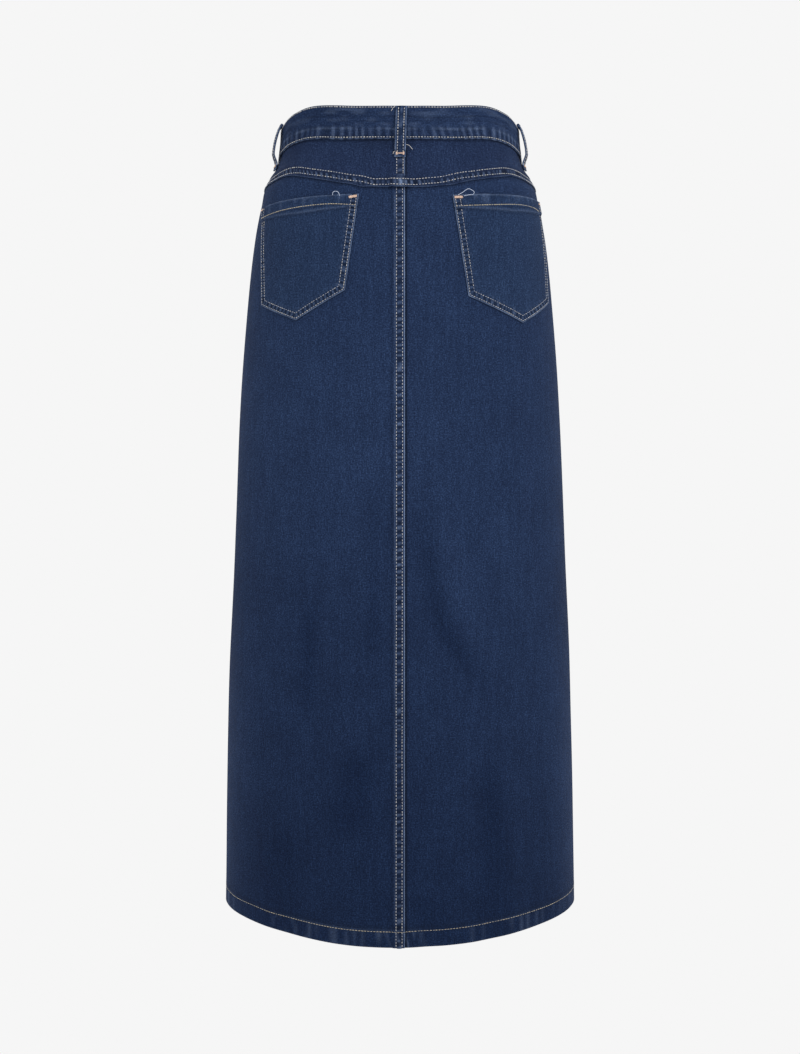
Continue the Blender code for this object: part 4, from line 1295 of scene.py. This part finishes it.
def sew(line, seed, pitch=3.2 * MM, thick=0.42 * MM, share=0.72, sink=0.05 * MM, across=0.0,
        worn=0.3):
    """Stitches along a line, as arrays of points, four-cornered faces, ends, uv and tones.

    Each is a short thread sunk into the cloth at both ends. With across, each lies this long
    across the line instead, as in a bar tack or a buttonhole.
    """
    points, normals = line
    run = running_length(points)
    rng = np.random.default_rng(seed)
    count = max(1, int(round(run[-1] / pitch)))
    step = run[-1] / count
    centre = (np.arange(count) + 0.5) * step + rng.normal(0, 0.05 * step, count)
    length = across or share * step
    stations = np.array([-0.5, -0.36, 0, 0.36, 0.5]) * length
    size = np.array([0.5, 0.92, 1, 0.92, 0.5]) * thick
    depth = np.array([-0.9, 0.1, 0.45, 0.1, -0.9]) * thick - sink
    at = centre[:, None] + (0 if across else stations)

    def read(values, shift=0.0):
        return np.stack([np.interp(at + shift, run, values[:, k]) for k in range(3)], -1)

    spot, normal = read(points), read(normals)
    way = read(points, 0.5 * MM) - read(points, -0.5 * MM)
    way /= np.maximum(np.linalg.norm(way, axis=-1, keepdims=True), 1e-9)
    aside = np.cross(normal, way)
    if across:
        spot, normal, way, aside = (
            np.repeat(v, len(stations), 1) for v in (spot, normal, way, aside)
        )
        slant = rng.normal(0, 0.12, (count, 1, 1))
        spot = spot + aside * stations[None, :, None] + way * stations[None, :, None] * slant
        way, aside = aside, way
    spot = spot + normal * depth[None, :, None]
    swell = size[None, :] * rng.uniform(0.9, 1.1, (count, 1))
    ring = (
        aside[:, :, None, :] * np.cos(RING)[None, None, :, None]
        + normal[:, :, None, :] * np.sin(RING)[None, None, :, None]
    ) * swell[:, :, None, None]
    corners = (spot[:, :, None, :] + ring).reshape(-1, 3)
    side, caps = tube_faces(len(stations), len(RING))
    each = len(stations) * len(RING)
    base = np.arange(count)[:, None] * each
    quads = (base[:, None] + side).reshape(-1, 4)
    ends = np.concatenate([base + caps[0], base + caps[1]])
    if across:
        quads, ends = quads[:, ::-1], ends[:, ::-1]
    uv = np.stack([
        np.broadcast_to(np.arange(6) * PLY_MM, (count, 5, 6)),
        (np.arange(count)[:, None, None] * 7 + stations[None, :, None] / MM) + np.zeros((1, 1, 6)),
    ], -1).reshape(-1, 2)
    tones = np.clip(rng.beta(1.2, 1.2 / max(worn, 0.01) - 1.2 + 0.01, count), 0, 1)
    return corners, quads, ends, uv, np.repeat(tones, each)


def thread_tail(points, number):
    """A loose end of thread through these points, in the same form as stitches."""
    points = np.array(points, float)
    t = np.linspace(0, len(points) - 1, 8 * (len(points) - 1) + 1)
    k = np.clip(t.astype(int), 0, len(points) - 2)
    a = (t - k)[:, None]
    before, after = points[np.maximum(k - 1, 0)], points[np.minimum(k + 2, len(points) - 1)]
    p0, p1 = points[k], points[k + 1]
    path = 0.5 * (2 * p0 + (p1 - before) * a + (2 * before - 5 * p0 + 4 * p1 - after) * a**2
                  + (3 * p0 - before - 3 * p1 + after) * a**3)
    way = np.gradient(path, axis=0)
    way /= np.linalg.norm(way, axis=1, keepdims=True)
    aside = np.cross(way, [0.3, 0.2, 0.93])
    aside /= np.linalg.norm(aside, axis=1, keepdims=True)
    other = np.cross(way, aside)
    ring = aside[:, None] * np.cos(RING)[None, :, None]
    ring = ring + other[:, None] * np.sin(RING)[None, :, None]
    corners = (path[:, None] + ring * LOOSE_THREAD).reshape(-1, 3)
    quads, ends = tube_faces(len(path), 6)
    uv = np.stack([np.tile(np.arange(6) * PLY_MM, len(path)),
                   np.repeat(np.arange(len(path)) * 0.6 + number, 6)], -1)
    return corners, quads, ends, uv, np.full(len(corners), 0.1)


def add_threads(name, rows, material):
    """One piece of many sewn rows."""
    points, uv, tones = (np.concatenate([row[k] for row in rows]) for k in (0, 3, 4))
    starts = np.cumsum([0] + [len(row[0]) for row in rows[:-1]])
    faces = [np.concatenate([row[k] + start for row, start in zip(rows, starts)]) for k in (1, 2)]
    piece = add_mesh(name, points, faces, [material], uv=uv, marks={"tone": tones})


def panel_height(side, distance, below, around):
    """How far out a back panel's outer face is."""
    relief, _, _ = back_panel_face(side, distance, below, around)
    return LAYER * back_lap(side, distance) + CLOTH / 2 + MM * relief


def seam_line(x, below, seed):
    """A row down the felled centre seam of the panels, at x to the right, wandering a little."""
    x = x - seam_drift(below) + 0.25 * MM * unevenness(below / 0.05, 0.5, seed)
    around = x / quarter_length(below)
    return on_cloth(around, below, panel_height(LEFT, -x, below, around))


def centre_seam_rows():
    """Both rows of the felled centre seam, down the panels and then down the yokes."""
    below = np.arange(83 * MM, 904.5 * MM, MM)
    rows = [sew(seam_line(x, below, wander), seed, 3.4 * MM, 0.39 * MM, worn=0.42)
            for x, wander, seed in ((-3.6 * MM, 3, 1), (2.7 * MM, 4, 2))]
    below = np.arange(37.5 * MM, 76 * MM, MM)
    for x, seed in ((-3.5 * MM, 5), (3.3 * MM, 6)):
        around = x / quarter_length(below)
        height = yoke_lie(LEFT, np.full(len(below), -x), below, around) + CLOTH / 2 - 0.15 * MM
        rows.append(sew(on_cloth(around, below, height), seed, 3.4 * MM))
    return rows


def yoke_row(up, seed):
    """A row all along the foot of the yokes, over their centre seam."""
    around = np.linspace(-0.985, 0.985, 900)
    below = yoke_foot(around) - up
    x = around * quarter_length(below)
    left, right = (
        yoke_lie(side, side * x, below, around)
        + MM * yoke_face(side, side * x, below, around)[0] for side in (LEFT, RIGHT)
    )
    height = np.where(x < -CENTRE_EDGE[LEFT], left, right) + CLOTH / 2
    return sew(on_cloth(around, below, height), seed, 3.2 * MM, sink=-0.16 * MM, worn=0.4)


def hem_row(side, is_front, seed, is_inside=False):
    """The hem's row on one panel, on its face or where it comes through inside."""
    share = np.linspace(0.05, 0.96, 500) if is_inside else np.linspace(0, 0.98, 500)
    place_round = 2 - share if is_front else share
    sag = 0.8 * MM * unevenness(share * 9, 0.5, seed)
    below = on_line(HEM, place_round) - HEM_ROW + sag
    distance = share * quarter_length(below, is_front)
    around = side * place_round
    lie = -fly_drop(side, distance, below) if is_front else 0
    if is_inside:
        points, normals = on_cloth(around, below, lie - 2 * FOLD - CLOTH / 2)
        return sew((points, -normals), seed, 3.3 * MM, 0.36 * MM, share=0.8)
    if is_front:
        height = lie + CLOTH / 2 - 0.2 * MM
    else:
        height = np.maximum(panel_height(side, distance, below, around), 0)
        if side == RIGHT:
            height = height + LAYER * (distance < -CENTRE_EDGE[LEFT])
    return sew(on_cloth(around, below, height), seed, 3.3 * MM, 0.36 * MM, share=0.9, worn=0.4)


def band_row(from_top, gap, seed):
    """A row all along the waistband, this far from its top edge or its foot."""
    path = band_path()
    fine = np.linspace(1.0, len(path) - 6, 2600)
    k = fine.astype(int)
    a = (fine - k)[:, None]
    same = (path[k, 0] == path[k + 1, 0]) & (path[k, 1] == path[k + 1, 1])
    spots = np.where(same[:, None], path[k] * (1 - a) + path[k + 1] * a, path[k])
    keep = np.concatenate([[True], np.any(np.abs(np.diff(spots, axis=0)) > 1e-9, axis=1)])
    spots = spots[keep]
    top, foot = band_edges(spots)
    below = top + gap if from_top else foot - gap
    height = BAND_LAYER + CLOTH / 2 - 0.22 * MM
    points, higher = (on_band(spots, below, np.full(len(below), out))[0]
                      for out in (height, height + MM))
    return sew((points, (higher - points) / MM), seed, 3.1 * MM, 0.46 * MM, worn=0.4)


def inset(points, gap):
    """The same open line, moved in towards its own middle by gap, its corners kept sharp."""
    points = np.array(points, float)
    ways = np.diff(points, axis=0)
    ways /= np.linalg.norm(ways, axis=1, keepdims=True)
    sides = np.stack([ways[:, 1], -ways[:, 0]], 1)
    if np.dot(points.mean(0) - points[0], sides[0]) < 0:
        sides = -sides
    moved = [points[0] + gap * sides[0]]
    for k in range(1, len(points) - 1):
        lean = sides[k - 1] + sides[k]
        moved.append(points[k] + gap * lean / np.dot(lean, sides[k]))
    moved.append(points[-1] + gap * sides[-1])
    return np.array(moved)


def pocket_line(name, spots):
    """A sewing line through these (distance, below) spots of a pocket's face."""
    side, *corners = POCKETS[name]
    spots = np.array(spots)
    run = running_length(spots)
    fine = np.linspace(0, run[-1], max(12, int(run[-1] / (0.6 * MM))))
    distance, below = (np.interp(fine, run, spots[:, k]) for k in (0, 1))
    inner_top, outer_top = np.array(corners[0]) * MM, np.array(corners[-1]) * MM
    share = (distance - inner_top[0]) / (outer_top[0] - inner_top[0])
    down = below - (inner_top[1] + share * (outer_top[1] - inner_top[1])) + 1.0 * MM
    share = np.clip(share, 0, 1)
    slack = POCKET_SLACK * np.sin(np.pi * share) ** 2
    slack = slack * np.clip(1 - down / POCKET_DEPTH, 0, 1) ** 1.5
    around = side * distance / quarter_length(below)
    return on_cloth(around, below, pocket_level(down) + slack + CLOTH / 2 - 0.14 * MM)


# How far below a pocket's mouth its hem is sewn: share across, mm
MOUTH_ROW = {
    "left": [(0, 12.0), (0.27, 9.2), (0.57, 9.8), (0.9, 11.4), (1, 11.8)],
    "right": [(0, 12.2), (0.31, 11.4), (0.62, 9.8), (0.8, 10.6), (0.93, 13.4), (1, 14.2)],
}


def pocket_rows(name):
    """Both rows round a pocket, and the one below its mouth."""
    seed = 200 if name == "left" else 230
    edge = np.array(POCKETS[name][1:]) * MM
    rows = []
    for gap, worn in zip(POCKET_ROWS, (0.45, 0.65)):
        line = inset(edge, gap)
        for end, near in ((0, 1), (-1, -2)):
            way = line[near] - line[end]
            line[end] += way / np.linalg.norm(way) * 1.2 * MM
        rows.append(sew(pocket_line(name, line), seed, 3.0 * MM, 0.36 * MM, worn=worn))
        seed += 1
    share = np.linspace(0.02, 0.98, 60)
    top = edge[0] * (1 - share[:, None]) + edge[-1] * share[:, None]
    sag = between(share, MOUTH_ROW[name]) * MM - 4 * MM * share * (1 - share)
    line = top + np.stack([0 * share, sag], 1)
    return rows, sew(pocket_line(name, line), seed, 2.9 * MM, share=0.92, worn=0.2)


def bar_tack(line, seed, width):
    """A close zigzag over a line, this wide."""
    return sew(line, seed, 0.55 * MM, 0.3 * MM, across=width, sink=-0.25 * MM, worn=0.15)


def loop_rows(name):
    """Two rows along a belt loop."""
    along = np.linspace(0.03, 0.97, 90)
    return [sew(on_loop(name, x, along, LOOP_CLOTH / 2 - 0.18 * MM), seed + len(name), 3.1 * MM,
                worn=0.35) for x, seed in ((-LOOP_ROW, 300), (LOOP_ROW, 301))]


def loop_tack(name, along, half, seed):
    """A bar tack across a belt loop, with a wider knot at each end."""
    knot = half - 1.5 * MM
    return [bar_tack(on_loop(name, np.linspace(start, end, 24), along, LOOP_CLOTH / 2),
                     seed + number, width * MM)
            for number, (start, end, width) in enumerate((
                (-half, half, 1.5), (-half, -knot, 3.6), (knot, half, 3.6)))]


def front_line(distance, below, out):
    """A line on the left front, this far from its centre seam."""
    return on_cloth(LEFT * (2 - np.asarray(distance) / quarter_length(below, True)), below, out)


def fly_rows():
    """The fly's curved topstitching on the left front, and the centre front seam below it."""
    rows, bend = [], 44 * MM
    for gap, low, seed in ((31 * MM, 216 * MM, 401), (24.8 * MM, 209 * MM, 402)):
        turn = np.linspace(0, math.pi / 2, 50)
        distance = np.concatenate([np.full(130, gap), -2 * MM + (gap + 2 * MM) * np.cos(turn)])
        straight = np.linspace(on_line(BAND_FOOT, 2) + 0.4 * MM, low - bend, 130)
        below = np.concatenate([straight, low - bend + bend * np.sin(turn)])
        rows.append(sew(front_line(distance, below, CLOTH / 2 - 0.1 * MM), seed, 3.2 * MM))
    below = np.arange(214 * MM, 897.5 * MM, MM)
    for distance, seed in ((-5.8 * MM, 403), (0.4 * MM, 404)):
        rows.append(sew(front_line(distance, below, CLOTH / 2 - 0.18 * MM), seed, 3.4 * MM))
    return rows


def buttonhole_rows():
    """Close stitches round the buttonhole in the band's left end."""
    middle = (on_line(BAND_TOP, 2) + on_line(BAND_FOOT, 2)) / 2
    turn = np.linspace(0, 2 * math.pi, 90)
    along, up = np.cos(turn), np.sin(turn)
    distance = BUTTON_AT * LEFT + np.sign(along) * np.abs(along) ** 0.6 * 10.6 * MM
    below = middle + np.sign(up) * np.abs(up) ** 0.8 * 2.9 * MM
    line = front_line(distance, below, BAND_LAYER + CLOTH / 2 - 0.1 * MM)
    return [sew(line, 410, 0.6 * MM, 0.3 * MM, across=2.6 * MM, sink=-0.1 * MM, worn=0.2)]


# ---------------------------------------------------------------- button and zip

def turned_about(profile, steps_round, centre, outward):
    """Points and faces of a profile of (radius, height) turned about an axis."""
    outward = outward / np.linalg.norm(outward)
    across = np.cross([0, 0, 1.0], outward)
    across /= np.linalg.norm(across)
    up = np.cross(outward, across)
    profile = np.array(profile)
    angle = 2 * np.pi * np.arange(steps_round) / steps_round
    circle = across * np.cos(angle)[:, None] + up * np.sin(angle)[:, None]
    points = (centre + profile[:, None, 0, None] * circle[None]
              + profile[:, None, 1, None] * outward).reshape(-1, 3)
    return points, *tube_faces(len(profile), steps_round)


def rounded(profile):
    """The same profile with its corners rounded off, by cutting each of them twice."""
    profile = np.array(profile, float)
    for _ in range(2):
        cut = [profile[0]]
        for a, b in zip(profile, profile[1:]):
            cut += [a * 0.75 + b * 0.25, a * 0.25 + b * 0.75]
        profile = np.array(cut + [profile[-1]])
    return profile


def add_button():
    """A cast shank button: a raised rim, a sunk ring and a low dome, on a short shank."""
    below = (on_line(BAND_TOP, 2) + on_line(BAND_FOOT, 2)) / 2
    around = 2 - BUTTON_AT / quarter_length(below, True)
    centre = place(around, below, drape(around, below))
    outward = place(around, below, 0.01) - place(around, below, 0.0)
    face = 2.85
    foot = -UNDERLAP_DROP / MM + (BAND_LAYER + CLOTH / 2) / MM + 0.1
    profile = [(0.3, foot), (2.9, foot), (2.9, foot + 0.5), (2.3, foot + 0.9), (2.3, face - 0.2),
               (4.5, face), (7.7, face), (8.45, face + 0.6), (8.5, face + 1.2),
               (8.0, face + 1.95), (7.0, face + 2.05), (6.3, face + 1.9), (6.0, face + 1.5),
               (5.5, face + 1.45), (5.1, face + 1.7), (3.4, face + 1.95), (1.6, face + 2.05),
               (0.2, face + 2.08)]
    points, quads, ends = turned_about(rounded(profile) * MM, 64, centre, outward)
    button = add_mesh("waist_button", points, [quads, ends], [antique_brass])
    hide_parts("waist_button")


def zip_place(x, down, out):
    """Points on the closed zip: x from its centre to the right, down from its top, out."""
    x, down, out = np.broadcast_arrays(*(np.asarray(a, float) for a in (x, down, out)))
    below = BAND_FOOT_FRONT + ZIP_START + down
    depth = fly_drop(RIGHT, 0 * below, below) + LAYER
    around = 2 - (ZIP_CENTRE + x) / quarter_length(below, True)
    return place(around, below, out - depth + drape(around, below))


def add_zip():
    """Two woven tapes, corded along their inner edges, with the row of teeth between them."""
    half, wall = ZIP_TAPE / 2, 0.4 * MM
    for sign in (LEFT, RIGHT):
        across = np.concatenate([steps(0.5 * MM, half, 1.4 * MM), [half]])
        down = np.concatenate([steps(0, ZIP_LENGTH, 2 * MM), [ZIP_LENGTH]])
        x, y = sign * across[None, :] + 0 * down[:, None], down[:, None] + 0 * across[None, :]
        edge = np.minimum(np.abs(np.abs(x) - half), np.minimum(y, ZIP_LENGTH - y))
        thick = wall * np.maximum(roundness(edge), 0.2)
        cord = 0.25 * MM * hump(np.abs(x) - 1.6 * MM, 0.9 * MM)
        outer, inner = zip_place(x, y, thick + cord), zip_place(x, y, -thick)
        uv = np.stack([x / MM, -y / MM], -1)
        add_sheet(f"zip_tape_{WORD[sign]}", outer, inner, uv, {"wear": 0 * x},
                               [navy_tape, navy_tape])
    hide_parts("fly_zip")
    # Teeth 2.3 mm apart on each tape, from each side in turn, those of one side being the
    # other side's in a mirror, so that their faces turn the other way
    outline = np.array([(2.3, -0.42), (2.3, 0.42), (0.3, 0.34), (-0.75, 0.5), (-0.75, -0.5),
                        (0.3, -0.34)])
    side, caps = tube_faces(4, 6)
    points, quads, ends = [], [], []
    for n, down in enumerate(np.arange(1.5 * MM, ZIP_LENGTH - 3 * MM, 1.15 * MM)):
        sign = RIGHT if n % 2 else LEFT
        x, y = outline[:, 0] * MM * sign, down + outline[:, 1] * MM
        for inset_by, out in ((0.8, -0.9), (1.0, -0.65), (1.0, 1.15), (0.8, 1.4)):
            points.append(zip_place(x * inset_by, down + (y - down) * inset_by, out * MM))
        quads.append(side[:, ::-sign] + 24 * n)
        ends.append(caps[:, ::-sign] + 24 * n)
    faces = [np.concatenate(quads), np.concatenate(ends)]
    teeth = add_mesh("zip_teeth", np.concatenate(points), faces, [zip_brass], is_smooth=False)


def add_slider():
    """The zip's slider at its top, with the tab hanging flat from its bridge."""
    wings = [(9.5, 1.6), (8.6, 3.2), (6.5, 4.0), (3.5, 4.1), (1.2, 3.3), (0.4, 2.0)]
    tab = [(28, 1.6), (27, 2.8), (25, 3.2), (13.5, 2.7), (10.5, 1.7), (7.0, 1.5), (6.2, 1.0)]
    # Plates: half an outline as mm down and mm aside, and from where to where it is thick
    plates = [
        (wings, -2.2, -1.1), (wings, 1.9, 3.1),
        ([(8.2, 0.9), (7.6, 1.3), (3.2, 1.3), (2.6, 0.9)], 3.0, 3.7),
        (tab, 3.6, 4.3),
        ([(2.4, 0.9), (1.6, 0.9)], -1.2, 2.0),
    ]
    points, quads, ends, offset = [], [], [], 0
    for shape, low, high in plates:
        ring = np.array([(x, y) for y, x in shape] + [(-x, y) for y, x in shape[::-1]])
        middle = ring.mean(0)
        for inset_by, out in ((0.92, low), (1.0, low + 0.2), (1.0, high - 0.2), (0.92, high)):
            spot = middle + (ring - middle) * inset_by
            points.append(zip_place(spot[:, 0] * MM, spot[:, 1] * MM, out * MM))
        side, caps = tube_faces(4, len(ring))
        quads.append(side + offset)
        ends.append(caps + offset)
        offset += 4 * len(ring)
    faces = [np.concatenate(quads), *ends]
    slider = add_mesh("zip_slider", np.concatenate(points), faces, [zip_brass], is_smooth=False)
    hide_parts("zip_slider")


# ---------------------------------------------------------------- the skirt

for side, word in WORD.items():
    add_panel(side, False)
    add_panel(side, True)
    add_yoke(side)
    add_pocket(word)
add_waistband()
for loop_name in LOOPS:
    add_loop(loop_name)
add_button()
add_zip()
add_slider()

add_threads("topstitching_seams", centre_seam_rows() + fly_rows() + [
    yoke_row(up, seed) for up, seed in zip(YOKE_ROWS, (31, 35))
], cream_thread)
round_rows, mouth_rows = [], []
for pocket_name in POCKETS:
    both, mouth = pocket_rows(pocket_name)
    round_rows += both
    mouth_rows.append(mouth)
add_threads("topstitching_pockets", round_rows, cream_thread)
add_threads(
    "topstitching_loops", [row for name in LOOPS for row in loop_rows(name)], cream_thread
)
band_rows = [band_row(True, BAND_TOP_ROW, 501), band_row(False, BAND_FOOT_ROW, 502)]
add_threads("topstitching_waistband", band_rows + buttonhole_rows(), cream_thread)
add_threads("topstitching_hem_and_mouths", mouth_rows + [
    hem_row(side, is_front, 510 + side + 3 * is_front, is_inside)
    for side in (LEFT, RIGHT) for is_front in (False, True) for is_inside in (False, True)
], tan_thread)


def on_back(x, below, out):
    """A sewing line on the back at x to the right."""
    return on_cloth(x / quarter_length(below), below, out)


# Bar tacks at the pockets' corners and on the fly: where one starts, x or the distance from the
# centre seam and how far below, how far it runs both ways, and its width, all in mm
POCKET_TACKS = [(-45.5, 98.4, -8.5, 1.2, 2.8), (57.6, 99.4, 8.8, -0.4, 2.8),
                (-171, 102.6, -6, 0.3, 1.6), (182, 94.2, 7, -0.3, 1.6)]
FLY_TACKS = [(4, 214, -10, 0, 2), (29.5, 150, -3, 5, 2)]

tacks = []
for number, name in enumerate(LOOPS):
    tacks += loop_tack(name, 0.93, 4.5 * MM, 600 + 3 * number)
t = np.linspace(0, 1, 20)
for table, sewn_on, level, first in (
    (POCKET_TACKS, on_back, 2 * LAYER + POCKET_CLEAR + CLOTH / 2, 640),
    (FLY_TACKS, front_line, CLOTH / 2, 644),
):
    for number, (x, below, run, fall, width) in enumerate(table, first):
        line = sewn_on((x + run * t) * MM, (below + fall * t) * MM, level)
        tacks.append(bar_tack(line, number, width * MM))
add_threads("bar_tacks", tacks, peach_thread)

# Loose ends of thread, each through these spots: x, below and out, in mm
CREAM_ENDS = [
    [(-5.6, 1.2, 4.0), (-6.6, 2.6, 4.6), (-7.8, 3.9, 4.0), (-9.4, 6.2, 3.0)],
    [(6.4, 43.6, 5.4), (8.8, 44.2, 5.2), (11.2, 45.8, 4.2), (13.2, 48.2, 3.0)],
    [(-5.6, 51.0, 4.6), (-6.8, 52.0, 4.9), (-7.4, 53.4, 3.8)],
]
BLUE_ENDS = [
    [(-63.8, 98, 4.6), (-65, 94.6, 5.6), (-68, 93.4, 6.0), (-70.8, 94.4, 5.4),
     (-71.6, 97.2, 4.4)],
    [(61.3, 97.4, 4.8), (66.7, 94.0, 5.6), (71.0, 91.0, 6.0), (74.8, 91.0, 5.6),
     (78.8, 93.4, 4.8), (77.4, 96.0, 4.4), (73.0, 96.8, 5.0), (67.4, 98.2, 5.0)],
]


def loose_ends(ends, first):
    """Tails of thread off the back, numbered on from the first."""
    tails = []
    for number, spots in enumerate(ends, first):
        x, below, out = np.array(spots, float).T * MM
        around = x / quarter_length(below)
        tails.append(thread_tail(place(around, below, out + drape(around, below)), number))
    return tails


add_threads("cream_thread_ends", loose_ends(CREAM_ENDS, 1), cream_thread)
add_threads("pale_blue_thread_ends", loose_ends(BLUE_ENDS, 4), blue_thread)


# ---------------------------------------------------------------- the cloth's cut sizes

def cut(name, flat, area, rests_on, held="hung"):
    """Takes what a piece is cut from, its flat size in m and its area in square metres; none is
    used.
    """


POCKET_CUT = {"left": ((0.133, 0.146), 0.0168), "right": ((0.139, 0.153), 0.0186)}
for word in ("left", "right"):
    cut(f"back_panel_{word}", (0.292, 0.868), 0.235, [f"back_yoke_{word}"])
    cut(f"front_panel_{word}", (0.289, 0.886), 0.236, ["waistband"])
    cut(f"back_yoke_{word}", (0.222, 0.066), 0.0117, ["waistband"])
    cut(f"back_pocket_{word}", *POCKET_CUT[word], [f"back_panel_{word}"])
cut("waistband", (0.803, 0.072), 0.057, ["back_yoke_left", "back_yoke_right"], "folded")


# ---------------------------------------------------------------- floor, light and camera

PAPER = "f6f6f6"
FLOOR_LEVEL, FLOOR_HALF = -1.12, 9

floor_paper = finish_with(new_finish("pale_floor_paper"), "ShaderNodeEmission", {
    "Color": linear(PAPER), "Strength": 1.0,
})
corners = [(x * FLOOR_HALF, y * FLOOR_HALF, FLOOR_LEVEL)
           for x, y in ((-1, -1), (1, -1), (1, 1), (-1, 1))]
floor_mesh = bpy.data.meshes.new("floor")
floor_mesh.from_pydata(corners, [], [(0, 1, 2, 3)])
floor_mesh.materials.append(floor_paper)
floor = bpy.data.objects.new("floor", floor_mesh)
bpy.context.scene.collection.objects.link(floor)

world = bpy.data.worlds.new("soft_studio")
bpy.context.scene.world = world
world.use_nodes = True
backdrop = world.node_tree.nodes["Background"]
backdrop.inputs["Color"].default_value = linear(PAPER)
backdrop.inputs["Strength"].default_value = 1.0


def add_softbox(name, size, place_at, aim, power):
    """A large soft light, out of sight, turned towards a point."""
    light = bpy.data.lights.new(name, "AREA")
    light.shape = "RECTANGLE"
    light.size, light.size_y = size
    light.energy = power
    lamp = bpy.data.objects.new(name, light)
    start, end = np.array(place_at), np.array(aim)
    back = (start - end) / np.linalg.norm(start - end)
    across = np.cross([0, 0, 1.0], back)
    across /= np.linalg.norm(across)
    up = np.cross(back, across)
    turn = np.eye(4)
    turn[:3, 0], turn[:3, 1], turn[:3, 2], turn[:3, 3] = across, up, back, start
    lamp.matrix_world = turn.T.tolist()
    lamp.visible_camera = False
    bpy.context.scene.collection.objects.link(lamp)


add_softbox("key_softbox", size=(1.0, 1.0), place_at=(1.2, -2.0, 1.3), aim=(0, 0, -0.25),
            power=24)

LOOKS_DOWN = 3.777  # degrees below level

view = bpy.data.cameras.new("camera")
view.lens, view.sensor_width = 47, 36
camera = bpy.data.objects.new("camera", view)
camera.location = (0, -1.60, -0.335)
camera.rotation_euler = (math.radians(90 - LOOKS_DOWN), 0, 0)
bpy.context.scene.collection.objects.link(camera)
bpy.context.scene.camera = camera
bpy.context.scene.view_settings.view_transform = "Standard"
